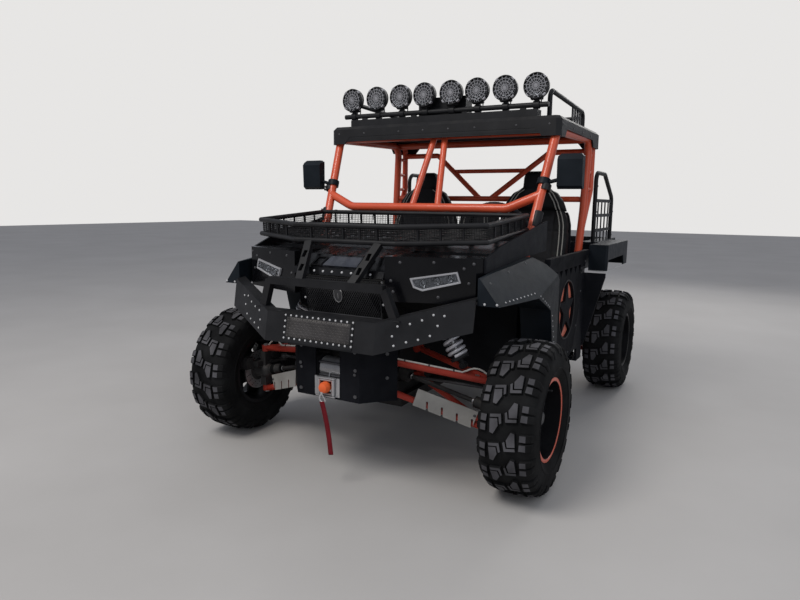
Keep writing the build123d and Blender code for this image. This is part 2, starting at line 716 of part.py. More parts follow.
# Hoop on the bumper, with two slotted uprights that carry the basket
hoop_z = 915
hoop_y = nose_y + 66
hoop_bar = 34
lip_z = bumper_low_z + bumper_height + 6
guard_hoop = beam((-306, hoop_y, hoop_z), (306, hoop_y, hoop_z), hoop_bar, hoop_bar)
hoop_leg = beam((306, hoop_y, hoop_z), (362, hoop_y + 14, lip_z - 18), hoop_bar, hoop_bar, up=(0, 1, 0))


def under_lip(x, y, low_z, height):
    """Return the section of the space below the bumper's lip, run on to both sides."""
    top = low_z + height
    rise = 8 / bumper_lip
    front = y + bumper_lean - 40
    back = y + bumper_lean + bumper_lip + 60
    pts = ((front, top - 40 * rise), (back, top + 8 + 60 * rise), (back, top - 120), (front, top - 120))
    return Plane.YZ.offset(x) * Polygon(*pts, align=None)


hoop_leg -= loft([under_lip(bumper_half_flat, nose_y, bumper_low_z, bumper_height),
                  under_lip(bumper_tip_x, nose_y + bumper_sweep, bumper_low_z + bumper_tip_rise, bumper_height + 4)], ruled=True)
guard_hoop += both_sides(hoop_leg)
rack_low_front = rack_floor_z - rack_tube
upright_top = (190, rack_front_y - 2, rack_low_front + 4)
post = beam((138, hoop_y, hoop_z), upright_top, 26, 38, up=(1, 0, 0))
for share in (0.34, 0.68):
    spot = [a + share * (b - a) for a, b in zip((138, hoop_y, hoop_z), upright_top)]
    post -= Pos(*spot) * Rot(-20, 0, 0) * Box(20, 200, 36)
guard_hoop += both_sides(post)

# Nose: leaning grille panel and hood in one folded sheet, with a blank middle
hood_rear_z = 1085
nose_half = 245
nose_top = 975
fold = ((front_y - 238, 785), (front_y - 262, 935), (front_y - 300, 945), (front_y - 286, nose_top),
        (front_y - 190, 1030), (front_y + 20, 1052), (front_y + 20, 1044), (front_y - 187, 1021),
        (front_y - 276, nose_top - 5), (front_y - 287, 953), (front_y - 254, 944), (front_y - 229, 785))
nose = side_plate(fold, -nose_half, 2 * nose_half)
hood_half = 640
hood_rear_y = firewall_y - 2
nose += side_plate(((front_y + 10, 1044), (hood_rear_y, hood_rear_z - 8), (hood_rear_y, hood_rear_z),
                    (front_y + 10, 1052)), -hood_half, 2 * hood_half)
save(nose, "nose_panel")

# Headlamp panels, swept back on each side of the nose
panel_top = 1044
panel_low = 846
panel_in = nose_half + fit_gap
panel_rear_y = front_y + 10 - fit_gap
lamp_panel_plan = ((panel_in, front_y - 286), (622, front_y - 162), (hood_half, front_y - 120), (hood_half, panel_rear_y),
                   (panel_in, panel_rear_y))
lamp_panel = flat_plate(lamp_panel_plan, panel_low, panel_top - panel_low)
inner_plan = ((panel_in + 10, front_y - 272), (612, front_y - 152), (hood_half - 10, front_y - 112),
              (hood_half - 10, panel_rear_y + 2), (panel_in + 10, panel_rear_y + 2))
lamp_panel -= flat_plate(inner_plan, panel_low - 2, panel_top - panel_low - 8)
save(both_sides(lamp_panel), "lamp_panels")

# Headlamps: four-sided lenses laid on the panels
panel_run = Vector(622 - panel_in, 124, 0).normalized()
lamp_origin = Vector(panel_in, front_y - 286, 0)
lamp_plane = Plane(origin=lamp_origin, x_dir=panel_run, z_dir=(panel_run.Y, -panel_run.X, 0))
lamp_outline = ((112, 952), (318, 986), (334, 938), (168, 898), (128, 912))
headlamp = extrude(lamp_plane * Polygon(*lamp_outline, align=None), amount=10, dir=lamp_plane.z_dir)
save(both_sides(headlamp), "headlamps")


def rack_plan(inset):
    """Return the basket's six-cornered plan, drawn in by an inset."""
    half_front = rack_front_half - 0.6 * inset
    half_side = rack_side_half - inset
    right = ((half_front, rack_front_y + inset), (half_side, rack_side_y + 0.5 * inset), (half_side, rack_rear_y - inset))
    return right + tuple((-x, y) for x, y in reversed(right))


# Basket over the hood: two rims, a thin wall between them and a barred floor, all on one slope
rims = None
for level in (0, rack_wall_height):
    corners_3d = [(x, y, rack_floor_z + level) for x, y in rack_plan(0)]
    for start, end in zip(corners_3d, corners_3d[1:] + corners_3d[:1]):
        bar = rod(start, end, rack_tube) + Pos(*start) * Sphere(rack_tube)
        rims = bar if rims is None else rims + bar
basket = rims
picket_gap = 88
plan = rack_plan(0)
for start, end in zip(plan, plan[1:] + plan[:1]):
    side_length = hypot(end[0] - start[0], end[1] - start[1])
    pickets = int(side_length / picket_gap)
    for step in range(1, pickets):
        x = start[0] + (end[0] - start[0]) * step / pickets
        y = start[1] + (end[1] - start[1]) * step / pickets
        basket += block((x - 4, x + 4), (y - 4, y + 4), (rack_floor_z, rack_floor_z + rack_wall_height))
bar_gap = 90
front_slope = (rack_side_y - rack_front_y) / (rack_side_half - rack_front_half)
count = int(2 * (rack_side_half - 40) / bar_gap)
for step in range(count + 1):
    x = (step - count / 2) * bar_gap
    lead = max(0, abs(x) - rack_front_half) * front_slope
    basket += block((x - 8, x + 8), (rack_front_y + lead, rack_rear_y), (rack_floor_z - 5, rack_floor_z + 3))
for y in (rack_front_y + 190, rack_rear_y - 180):
    basket += block((-rack_side_half, rack_side_half), (y - 10, y + 10), (rack_floor_z - 10, rack_floor_z - 4))
basket = basket.rotate(Axis((0, rack_front_y, rack_floor_z), (1, 0, 0)), rack_slope)
save(basket, "front_rack")
save(bumper + (guard_hoop - basket), "front_bumper")

# Winch on the guard's tray: its drum between the motor and the gear head
winch_z = tray_top_z + fit_gap + 55
winch_drum_half = 62
winch_half = 128
winch = rod((-winch_drum_half, winch_y, winch_z), (winch_drum_half, winch_y, winch_z), 44)
winch += both_sides(block((winch_drum_half, winch_half), (winch_y - 50, winch_y + 50), (winch_z - 55, winch_z + 55)))
save(winch, "winch")

# Roller fairlead on the guard, with the hook drawn up against it
plate_front = guard_front_y - fit_gap
fairlead = block((-68, 68), (plate_front - 5, plate_front), (fairlead_z - 44, fairlead_z + 44))
fairlead -= Pos(0, plate_front, fairlead_z) * Box(fairlead_hole[0], 30, fairlead_hole[1])
roller_y = plate_front - 12
fairlead += both_sides(rod((38, roller_y, fairlead_z - 40), (38, roller_y, fairlead_z + 40), 8))
for end in (-1, 1):
    fairlead += rod((-34, roller_y, fairlead_z + end * 32), (34, roller_y, fairlead_z + end * 32), 6)
    fairlead += block((-52, 52), (roller_y - 9, plate_front), (fairlead_z + end * 42 - 3, fairlead_z + end * 42 + 3))
stopper_y = roller_y - 6
stopper_radius = 26.3
hook_y = stopper_y - 21
hook_low = fairlead_z - 66
hook_radius = 5
fairlead += Pos(0, stopper_y, fairlead_z) * Sphere(stopper_radius)
hook_line = ((0, stopper_y, fairlead_z - 10), (0, hook_y, fairlead_z - 26), (-14, hook_y, fairlead_z - 46),
             (-4, hook_y, hook_low), (10, hook_y, hook_low + 8))
fairlead += bent_tube(hook_line, hook_radius, 6)
save(fairlead, "fairlead")

# Pull strap on the hook
strap_width = 28
strap_sheet = 3
strap_end = (50, 142)
strap_y = hook_y - hook_radius - strap_sheet / 2 - fit_gap
strap = beam((0, strap_y, hook_low + 8), (strap_end[0], strap_y, strap_end[1]), strap_width, strap_sheet, up=(0, 1, 0))
save(strap, "hook_strap")

# Front fenders: a faceted shell over each wheel, its arch cut from a sloping block
fender_in = 655
fender_out = 812
fender_low_z = 580
arch = ((front_y - 222, 854), (front_y + 125, 854), (front_y + 335, 770), (front_y + 388, fender_low_z - 20))
fender_rear_y = firewall_y - 2
skin = ((front_y - 222, 854), (front_y - 222, 968), (front_y + 314, 1022), (front_y + 395, 985), (fender_rear_y, 905),
        (fender_rear_y, fender_low_z), (front_y + 388, fender_low_z), (front_y + 335, 770), (front_y + 125, 854))
fender = side_plate(skin, fender_in, fender_out - fender_in)
crease_run = Vector(56, 532, 54)
slope_plane = Plane(origin=(664, front_y - 218, 966), x_dir=crease_run, z_dir=crease_run.cross(Vector(136, 338, -96)))
upper = split(fender, bisect_by=slope_plane, keep=Keep.TOP)
fender = split(fender, bisect_by=slope_plane, keep=Keep.BOTTOM)
if fender.center().Z > upper.center().Z:
    fender = upper
save(both_sides(fender), "front_fenders")

# Cowl sides between the headlamp panels and the doors
cowl_start = Vector(hood_half + fit_gap, front_y - 120, 0)
cowl_run = Vector(50, 720, 0).normalized()
cowl_plane = Plane(origin=cowl_start, x_dir=cowl_run, z_dir=(cowl_run.Y, -cowl_run.X, 0))
crease_low = 968 + 102 * 54 / 536 + fit_gap
cowl_outline = ((0, crease_low), (0, 1040), (140, 1085), (722, 1190), (722, 1036), (435, 1022.5))
cowl = extrude(cowl_plane * Polygon(*cowl_outline, align=None), amount=10, dir=cowl_plane.z_dir)

# Dash: one closed housing across the cabin, with the steering column
dash_half = 596
dash_front_y = cowl_y + 20 + fit_gap
dash_section = ((dash_front_y, 962), (dash_front_y, 1060), (front_y + 560, 1100), (front_y + 660, 1085),
                (front_y + 700, 1020), (front_y + 640, 930), (front_y + 560, 930))
dash = side_plate(dash_section, -dash_half, 2 * dash_half)
wheel_x = 360
wheel_centre = Vector(wheel_x, front_y + 815, 1128)
column_tilt = radians(33)
column_dir = Vector(0, cos(column_tilt), sin(column_tilt))
column_end = wheel_centre - column_dir * (45 + fit_gap)
column_start = wheel_centre - column_dir * 190
dash += rod(tuple(column_start), tuple(column_end), 26)
save(dash, "dashboard")

# Steering wheel: rim, three spokes and hub, square to the column
wheel_plane = Plane(origin=wheel_centre, x_dir=(1, 0, 0), z_dir=column_dir)
steering = wheel_plane * Torus(172, 14)
steering += wheel_plane * Pos(0, 0, -18) * Cylinder(42, 54)
for angle in (0, 180, 270):
    spoke = Rot(0, 0, angle) * Pos(105, 0, -6) * Box(140, 26, 8)
    steering += wheel_plane * spoke
save(steering, "steering_wheel")

# Cabin tub: floor, firewall, hollow seat base and rear wall, with the door hinge posts
tub = block((-cabin_half_width, cabin_half_width), (firewall_y, cabin_rear_y), (floor_z, floor_z + sheet))
tub += block((-600, 600), (firewall_y, firewall_y + sheet - 3), (floor_z, 955))
base_rear_y = cabin_rear_y - 85
base_outer = block((-cabin_half_width + 6, cabin_half_width - 6), (seat_front_y, base_rear_y), (floor_z, seat_base_z))
base_inner = block((-cabin_half_width + 14, cabin_half_width - 14), (seat_front_y + sheet, base_rear_y + 1),
                   (floor_z - 1, seat_base_z - sheet))
tub += base_outer - base_inner
wall_y = cabin_rear_y + 35
tub += block((-600, 600), (base_rear_y - 5, wall_y), (seat_base_z - sheet, seat_base_z))
tub += block((-600, 600), (wall_y - sheet, wall_y), (seat_base_z - sheet, 960))
tub -= block((-240, 240), (front_y + 1050, cabin_rear_y + 10), (floor_z - 1, floor_z + sheet + 1))
for side in (-1, 1):
    tub -= block(sorted((side * 600, side * 710)), (base_rear_y + 2, cabin_rear_y + 5), (floor_z - 1, floor_z + sheet + 1))
    tub -= block(sorted((side * 612, side * 668)), (firewall_y - 5, cowl_y + 27), (floor_z - 1, floor_z + sheet + 1))
hinge_y = door_front_y - hinge_gap
hinge_x = door_x + door_thickness - hinge_radius
post_face = door_x - hinge_gap
tub += both_sides(block((post_face - 38, post_face), (firewall_y, door_front_y - 2), (floor_z, 985)))
hinge_levels = (560, 860)
hinge_length = 36
for z in hinge_levels:
    tub += both_sides(Pos(hinge_x, hinge_y, z) * Cylinder(hinge_radius, hinge_length))
    tub += both_sides(block((post_face - 10, hinge_x), (hinge_y - 6, hinge_y + 2), (z - 18, z + 18)))
save(tub, "cabin_tub")


def seat(width, back_top, head_top, head_width):
    """Return one seat about x = 0: cushion, raked back and headrest in one closed form."""
    side = ((seat_front_y - 30, 672), (seat_front_y - 40, 730), (seat_front_y - 10, 775),
            (seat_front_y + 330, 748), (seat_front_y + 398, 790), (seat_front_y + 500, back_top),
            (seat_front_y + 560, back_top - 20), (seat_front_y + 520, 672))
    body = side_plate(side, -width / 2, width)
    body = chamfer(body.edges().filter_by(Axis.X).group_by(Axis.Z)[-1], 12)
    if head_top > back_top:
        head = ((seat_front_y + 490, back_top - 60), (seat_front_y + 530, head_top), (seat_front_y + 590, head_top - 10),
                (seat_front_y + 562, back_top - 60))
        body += side_plate(head, -head_width / 2, head_width)
    return Pos(0, 0, seat_base_z - 672 + fit_gap) * body


# Seats by their places across the cabin, with the middle one narrower and without a headrest
seat_x = 392
outer_back_top = 1270
outer_head_top = 1530
seat_table = (
    # x, width, back_top, head_top, head_width
    (seat_x, 490, outer_back_top, outer_head_top, 210),
    (-seat_x, 490, outer_back_top, outer_head_top, 210),
    (0, 270, outer_back_top - 8, 0, 0),
)
seats = None
for x, width, back_top, head_top, head_width in seat_table:
    one = Pos(x, 0, 0) * seat(width, back_top, head_top, head_width)
    seats = one if seats is None else seats + one
save(seats, "seats")


def star_gaps(radius):
    """Return the five cut-outs that leave a star standing in a round opening."""
    inner = radius * 0.40
    tips = []
    for step in range(10):
        reach = (radius + 3) if step % 2 == 0 else inner
        angle = pi / 2 + step * pi / 5
        tips.append((reach * cos(angle), reach * sin(angle)))
    return Circle(radius) - Polygon(*tips, align=None)


# Left door: panel under a rail, star cut-outs over a round backing, triangular holes
door_outline = ((door_front_y, door_low_z), (door_rear_y - 315, door_low_z), (door_rear_y - 230, door_low_z + 45),
                (door_rear_y, door_top_z - door_rail), (door_rear_y + 5, door_top_z - door_rail / 2),
                (door_front_y, door_top_z - door_rail / 2))
door = side_plate(door_outline, door_x, door_thickness)
star_plane = Plane(origin=(door_x + 6, star_y, star_z), x_dir=(0, 1, 0), z_dir=(1, 0, 0))
door -= extrude(star_plane * star_gaps(star_radius), amount=door_thickness, dir=(1, 0, 0))
hole_z = door_top_z - door_rail - 48
hole_pitch = 105
hole = Polygon((-32, 14), (32, 14), (0, -26), align=None)
for step in range(6):
    hole_y = door_front_y + 130 + step * hole_pitch
    hole_plane = Plane(origin=(door_x - 1, hole_y, hole_z), x_dir=(0, 1, 0), z_dir=(1, 0, 0))
    door -= extrude(hole_plane * hole, amount=door_thickness + 2, dir=(1, 0, 0))
rail_mid_x = door_x + door_thickness / 2
door += beam((rail_mid_x, door_front_y, door_top_z), (rail_mid_x, door_rear_y + 70, door_top_z), door_rail, door_rail)
for z in hinge_levels:
    top_z = z + hinge_length / 2 + fit_gap
    door += Pos(hinge_x, hinge_y, top_z + hinge_length / 2) * Cylinder(hinge_radius, hinge_length)
    door += block((hinge_x - 6, hinge_x + 4), (hinge_y, door_front_y + 4), (top_z, top_z + hinge_length))
save(door, "door_left")
save(mirror(door, about=Plane.YZ), "door_right")

# Body sides behind the doors, with the splash panel ahead of each rear wheel
gap = 12
lower_y = door_rear_y - 230 + gap
quarter_sheet = 14
quarter_rear_y = front_y + 1385
quarter_top_z = 855
splash_y = quarter_rear_y - quarter_sheet
quarter_outline = ((lower_y, door_low_z + 45), (lower_y - 30, door_low_z), (quarter_rear_y, door_low_z - 10),
                   (quarter_rear_y, quarter_top_z), (door_rear_y - 45 + gap, quarter_top_z))
quarter = side_plate(quarter_outline, door_x - 8, quarter_sheet)
splash_in = 697
splash_outline = ((splash_in, door_low_z - 10), (742, door_low_z - 10), (fender_box_x - 2, quarter_top_z - 25),
                  (fender_box_x - 2, quarter_top_z), (splash_in, quarter_top_z))
quarter += cross_plate(splash_outline, splash_y, quarter_sheet)
sill_face = sill_x + rail_size / 2 + fit_gap
quarter += block((sill_face, door_x + 6), (splash_y - 121, splash_y), (rail_z, rail_z + quarter_sheet))
quarter += block((door_x - 8, door_x + 6), (splash_y - 121, splash_y), (rail_z, door_low_z))
save(both_sides(quarter) + both_sides(cowl), "side_panels")

# Cargo bed: floor, walls, hollow fender boxes and the runners with their hinge eyes
floor_low = bed_floor_z - bed_sheet
bed = block((-bed_half_width, bed_half_width), (bed_front_y, bed_rear_y), (floor_low, bed_floor_z))
bed += block((-bed_half_width, bed_half_width), (bed_front_y, bed_front_y + bed_sheet), (floor_low, bed_wall_top_z))
wall_x = (bed_half_width - bed_sheet, bed_half_width)
flange_x = (bed_half_width - bed_sheet, bed_half_width + 75)
wall_side = block(wall_x, (bed_front_y, bed_rear_y), (floor_low, bed_wall_top_z))
wall_side += block(flange_x, (bed_front_y, bed_rear_y), (bed_wall_top_z - 10, bed_wall_top_z))
wall_side += block(flange_x, (bed_rear_y - bed_sheet, bed_rear_y), (floor_low, bed_wall_top_z))
box_in = 745
box_corner = 12
box_plan = ((box_in, fender_box_front_y), (fender_box_x - box_corner, fender_box_front_y),
            (fender_box_x, fender_box_front_y + box_corner), (fender_box_x, fender_box_rear_y),
            (bed_half_width, fender_box_rear_y), (bed_half_width, bed_front_y), (box_in, bed_front_y))
flare_low = 935
leg_low = 866
fender_box = flat_plate(box_plan, leg_low, bed_wall_top_z - leg_low)
cavity_outline = ((fender_box_front_y + 14, leg_low - 1), (fender_box_front_y + 14, bed_wall_top_z - bed_sheet),
                  (fender_box_rear_y - bed_sheet, bed_wall_top_z - bed_sheet), (fender_box_rear_y - bed_sheet, leg_low - 1))
fender_box -= side_plate(cavity_outline, bed_half_width - 1, fender_box_x - bed_sheet - bed_half_width + 1)
cut_outline = ((fender_box_front_y + 14, leg_low - 1), (fender_box_front_y + 34, flare_low),
               (fender_box_rear_y - 150, flare_low), (fender_box_rear_y - 110, leg_low - 1))
fender_box -= side_plate(cut_outline, fender_box_x - 30, 40)
wall_side += fender_box
runner_x = (bed_runner_x - 18, bed_runner_x + 18)
runner = block(runner_x, (bed_front_y, bed_hinge_y - 10), (floor_low - 35, floor_low))
runner += rod((runner_x[0], bed_hinge_y, bed_hinge_z), (runner_x[1], bed_hinge_y, bed_hinge_z), 18)
runner += block(runner_x, (bed_hinge_y - 18, bed_hinge_y + 14), (bed_hinge_z, floor_low))
runner -= rod((bed_runner_x - 30, bed_hinge_y, bed_hinge_z), (bed_runner_x + 30, bed_hinge_y, bed_hinge_z),
              pin_radius + fit_gap)
bed += both_sides(wall_side + runner)
gate_hinge_y = bed_rear_y + 14
gate_hinge_z = bed_floor_z + 4
bed += both_sides(block((520, 560), (bed_rear_y - 1, gate_hinge_y + 6), (gate_hinge_z - 26, gate_hinge_z - 11)))
bed += both_sides(block((520, 560), (gate_hinge_y - 6, gate_hinge_y + 6), (gate_hinge_z - 26, gate_hinge_z)))
bed += both_sides(rod((506, gate_hinge_y, gate_hinge_z), (574, gate_hinge_y, gate_hinge_z), 6))
save(bed, "cargo_bed")

# Tailgate on two bottom hinges
gate_half = bed_half_width - 24
gate = block((-gate_half, gate_half), (bed_rear_y + 5, bed_rear_y + 23), (bed_floor_z - 6, bed_wall_top_z))
gate -= both_sides(block((514, 566), (bed_rear_y, bed_rear_y + 30), (bed_floor_z - 30, gate_hinge_z + 12)))
gate += block((-80, 80), (bed_rear_y + 23, bed_rear_y + 31), (960, 1000))
gate -= both_sides(rod((490, gate_hinge_y, gate_hinge_z), (580, gate_hinge_y, gate_hinge_z), 6 + fit_gap))
save(gate, "tailgate")

# Tail lamps on the bed's rear corners
tail_lamp = block((bed_half_width + 12, bed_half_width + 62), (bed_rear_y, bed_rear_y + 16), (885, 1000))
save(both_sides(tail_lamp), "tail_lamps")

# Side racks on the bed: a sloping hoop with a lattice in its lower half
rack_x = 700
rack_foot_z = bed_wall_top_z
rack_start = bed_front_y + 35
rack_length = 560
rack_top_z = 1488
rack_rear_top_z = 1330
hoop_line = ((rack_x, rack_start, rack_foot_z), (rack_x, rack_start, rack_top_z), (rack_x, rack_start + 270, rack_top_z),
             (rack_x, rack_start + rack_length, rack_rear_top_z), (rack_x, rack_start + rack_length, rack_foot_z))
hoop_rack = bent_tube(hoop_line, 14, (60, 60, 60))
lattice_top = 1305
for level in range(3):
    z = lattice_top - level * 100
    hoop_rack += beam((rack_x, rack_start, z), (rack_x, rack_start + rack_length, z), 6, 22)
for step in range(1, 5):
    y = rack_start + step * rack_length / 5
    hoop_rack += beam((rack_x, y, rack_foot_z), (rack_x, y, lattice_top), 6, 22, up=(0, 1, 0))
save(both_sides(hoop_rack), "bed_racks")

# Mirrors clamped to the front pillars
clamp_point = on_pillar(1388)
pillar_dir = (Vector(*top_front) - Vector(*foot)).normalized()
clamp_plane = Plane(origin=clamp_point, z_dir=pillar_dir)
clamp = clamp_plane * (Cylinder(34, 34) - Cylinder(cage_tube + fit_gap, 40))
mirror_y = clamp_point[1]
mirror_section = ((mirror_y - 34, 1368), (mirror_y - 40, 1500), (mirror_y - 14, 1530), (mirror_y + 14, 1530),
                  (mirror_y + 14, 1356), (mirror_y - 12, 1352))
mirror_shell = side_plate(mirror_section, 738, 128)
mirror_shell = chamfer(mirror_shell.edges().filter_by(Axis.Y), 14)
clamp += mirror_shell
arm_start = Vector(*clamp_point) + Vector(28, 0, 0)
clamp += rod(tuple(arm_start), (745, mirror_y, 1402), 10)
save(both_sides(clamp), "mirrors")

# Hitch receiver: a square socket under the tail, cross-drilled for its pin
socket_z = rail_z
socket_outer = 64
socket_inner = 51
socket_length = tail_y - rail_rear_y
hitch_pin = 8
outer_half = socket_outer / 2
inner_half = socket_inner / 2
receiver = block((-outer_half, outer_half), (tail_y - socket_length, tail_y), (socket_z - outer_half, socket_z + outer_half))
receiver -= block((-inner_half, inner_half), (tail_y - socket_length + 25, tail_y + 1),
                  (socket_z - inner_half, socket_z + inner_half))
receiver -= rod((-socket_outer, tail_y - 45, socket_z), (socket_outer, tail_y - 45, socket_z), hitch_pin)
save(receiver, "hitch_receiver")
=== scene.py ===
"""Looks of a side-by-side utility vehicle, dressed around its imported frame.

All lengths are metres. +Z is up, the vehicle faces -Y and its left side is +X.
"""
import logging
import math
from dataclasses import dataclass
from enum import Enum
from typing import Iterable, Sequence

import bmesh
import bpy
from mathutils import Matrix, Vector
from mathutils.bvhtree import BVHTree


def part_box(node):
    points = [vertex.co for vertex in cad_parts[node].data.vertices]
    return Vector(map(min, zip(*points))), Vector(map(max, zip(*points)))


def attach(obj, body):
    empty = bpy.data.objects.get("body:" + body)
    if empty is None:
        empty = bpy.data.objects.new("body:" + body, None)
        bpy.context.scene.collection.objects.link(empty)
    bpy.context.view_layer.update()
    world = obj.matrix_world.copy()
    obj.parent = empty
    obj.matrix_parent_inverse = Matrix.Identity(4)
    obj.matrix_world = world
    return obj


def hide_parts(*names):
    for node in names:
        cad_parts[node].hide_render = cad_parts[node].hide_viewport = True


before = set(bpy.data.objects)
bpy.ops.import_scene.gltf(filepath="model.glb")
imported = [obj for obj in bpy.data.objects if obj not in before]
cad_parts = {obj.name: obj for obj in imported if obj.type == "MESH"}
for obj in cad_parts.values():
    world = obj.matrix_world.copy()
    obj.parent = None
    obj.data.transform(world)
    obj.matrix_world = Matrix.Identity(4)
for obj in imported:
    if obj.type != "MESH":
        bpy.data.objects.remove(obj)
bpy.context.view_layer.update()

log = logging.getLogger("utility_vehicle")

Point = Sequence[float]
Outline = Sequence[Sequence[float]]
Given = bpy.types.NodeSocket | bpy.types.ID | float | Point

FRONT_AXLE_Y = -1.020
REAR_AXLE_Y = 0.905
AXLE_Z = 0.343

# From the middle to each wheel's centre
FRONT_TRACK = 0.822
REAR_TRACK = 0.806
NOSE_Y = FRONT_AXLE_Y - 0.455

# The two sides of the vehicle, the left one first, and where points cast onto a skin start from
SIDES = (1, -1)
CAST_RUN = 0.3
OUTSIDE_X = 0.95


# Helpers for meshes


def ahead(y: float) -> float:
    """Return the frame's y for a distance behind the front axle."""
    return FRONT_AXLE_Y + y


def linked(name: str, data: bpy.types.ID) -> bpy.types.Object:
    """Return a new object of a mesh, lamp or camera, in the scene.

    Args:
        name: The object's name.
        data: What it shows.

    Returns:
        The new object.
    """
    thing = bpy.data.objects.new(name, data)
    bpy.context.scene.collection.objects.link(thing)
    return thing


def to_object(work: bmesh.types.BMesh, name: str, crease: float = 35.0) -> bpy.types.Object:
    """Turn a bmesh into an object with smooth faces between sharp edges.

    Args:
        work: The bmesh, freed here.
        name: The object's name.
        crease: Edges that turn by more degrees than this stay sharp.

    Returns:
        The new object.
    """
    mesh = bpy.data.meshes.new(name)
    bmesh.ops.recalc_face_normals(work, faces=work.faces)
    work.to_mesh(mesh)
    work.free()
    soften(mesh, crease)
    return linked(name, mesh)


def soften(mesh: bpy.types.Mesh, crease: float) -> None:
    """Shade a mesh smooth, apart from edges that turn by more degrees than the crease."""
    mesh.shade_smooth()
    mesh.set_sharp_from_angle(angle=math.radians(crease))


def axes(origin: Point, x: Point, y: Point, z: Point) -> Matrix:
    """Return the matrix of a place with its three directions.

    Args:
        origin: The place.
        x: Where its X runs.
        y: Where its Y runs.
        z: Where its Z runs.

    Returns:
        The matrix.
    """
    place = Matrix((x, y, z)).transposed().to_4x4()
    place.translation = Vector(origin)
    return place


def frame_of(origin: Point, along: Point, up: Point = (0, 0, 1)) -> Matrix:
    """Return a matrix whose Z runs along a direction and whose X lies square to it and to up.

    Args:
        origin: The place.
        along: The direction of its Z, of any length.
        up: What its X lies square to.

    Returns:
        The matrix.
    """
    z = Vector(along).normalized()
    x = Vector(up).cross(z)
    if x.length < 1e-6:
        x = Vector((1, 0, 0)) if abs(z.x) < 0.9 else Vector((0, 1, 0))
        x = x - z * x.dot(z)
    x.normalize()
    return axes(origin, x, z.cross(x), z)


def on_circle(radius: float, turn: float, height: float = 0.0) -> Vector:
    """Return the point at a distance from the Z axis, turned about it, at a height."""
    return Vector((radius * math.cos(turn), radius * math.sin(turn), height))


def add_lathe(work: bmesh.types.BMesh, profile: Outline, place: Matrix, steps: int = 32,
              closed: bool = False) -> None:
    """Add a surface of revolution about the place's Z axis.

    Args:
        work: The bmesh that receives it.
        profile: Points as (radius, height); a radius of 0 closes an end.
        place: Where the axis stands.
        steps: Segments round the axis.
        closed: True joins the last point to the first, as for a ring.
    """
    rows = []
    for radius, height in profile:
        if radius < 1e-7:
            rows.append([work.verts.new(place @ Vector((0, 0, height)))])
            continue
        row = []
        for step in range(steps):
            turn = 2 * math.pi * step / steps
            row.append(work.verts.new(place @ on_circle(radius, turn, height)))
        rows.append(row)
    pairs = list(zip(rows, rows[1:]))
    if closed:
        pairs.append((rows[-1], rows[0]))
    for low, high in pairs:
        for step in range(steps):
            after = (step + 1) % steps
            if len(low) == 1 and len(high) == 1:
                continue
            if len(low) == 1:
                work.faces.new((low[0], high[after], high[step]))
            elif len(high) == 1:
                work.faces.new((low[step], low[after], high[0]))
            else:
                work.faces.new((low[step], low[after], high[after], high[step]))


def add_rod(work: bmesh.types.BMesh, radius: float, low: float, high: float, place: Matrix, steps: int = 32,
            crown: float = 0.0) -> None:
    """Add a closed round rod or disc along the place's Z axis.

    Args:
        work: The bmesh that receives it.
        radius: Its radius.
        low: Where it starts.
        high: Where it ends.
        place: Where its axis stands.
        steps: Segments round the axis.
        crown: How far its end rises in the middle.
    """
    add_lathe(work, [(0.0, low), (radius, low), (radius, high), (0.0, high + crown)], place, steps)


def add_ring(work: bmesh.types.BMesh, inner: float, outer: float, low: float, high: float, place: Matrix,
             steps: int = 32) -> None:
    """Add a ring of a square section about the place's Z axis.

    Args:
        work: The bmesh that receives it.
        inner: Its inner radius.
        outer: Its outer radius.
        low: Where it starts along the axis.
        high: Where it ends.
        place: Where its axis stands.
        steps: Segments round the axis.
    """
    add_lathe(work, [(inner, low), (outer, low), (outer, high), (inner, high)], place, steps, True)


def add_tube(work: bmesh.types.BMesh, path: Sequence[Point], radius: float, sides: int = 12,
             closed: bool = False) -> None:
    """Add a round tube that follows a path without twisting.

    Args:
        work: The bmesh that receives it.
        path: Points of the centre line.
        radius: The tube's radius.
        sides: Faces round the tube.
        closed: True joins the end to the start.
    """
    points = [Vector(p) for p in path]
    count = len(points)
    rows = []
    side = None
    for index, point in enumerate(points):
        before = points[index - 1] if index > 0 or closed else point
        after = points[(index + 1) % count] if index < count - 1 or closed else point
        along = (after - before).normalized()
        if side is None:
            side = along.orthogonal().normalized()
        side = (side - along * side.dot(along)).normalized()
        other = along.cross(side)
        row = []
        for step in range(sides):
            turn = 2 * math.pi * step / sides
            out = side * math.cos(turn) + other * math.sin(turn)
            row.append(work.verts.new(point + out * radius))
        rows.append(row)
    for index in range(count if closed else count - 1):
        low, high = rows[index], rows[(index + 1) % count]
        shift = 0
        if closed and index == count - 1:
            shift = min(range(sides), key=lambda s: (low[0].co - high[s].co).length)
        for step in range(sides):
            after = (step + 1) % sides
            work.faces.new((low[step], low[after], high[(after + shift) % sides],
                            high[(step + shift) % sides]))
    if not closed:
        work.faces.new(list(reversed(rows[0])))
        work.faces.new(rows[-1])


def add_prism(work: bmesh.types.BMesh, outline: Outline, place: Matrix, thickness: float,
              bevel: float = 0.0) -> None:
    """Add a plate with an outline in the place's XY plane, growing along its Z.

    Args:
        work: The bmesh that receives it.
        outline: The plate's corners.
        place: The plane of its first face.
        thickness: How far it grows.
        bevel: The width of the rounding on every edge.
    """
    part = bmesh.new()
    low = [part.verts.new((x, y, 0)) for x, y in outline]
    high = [part.verts.new((x, y, thickness)) for x, y in outline]
    part.faces.new(list(reversed(low)))
    part.faces.new(high)
    for index in range(len(outline)):
        after = (index + 1) % len(outline)
        part.faces.new((low[index], low[after], high[after], high[index]))
    merge_into(work, part, place, bevel)


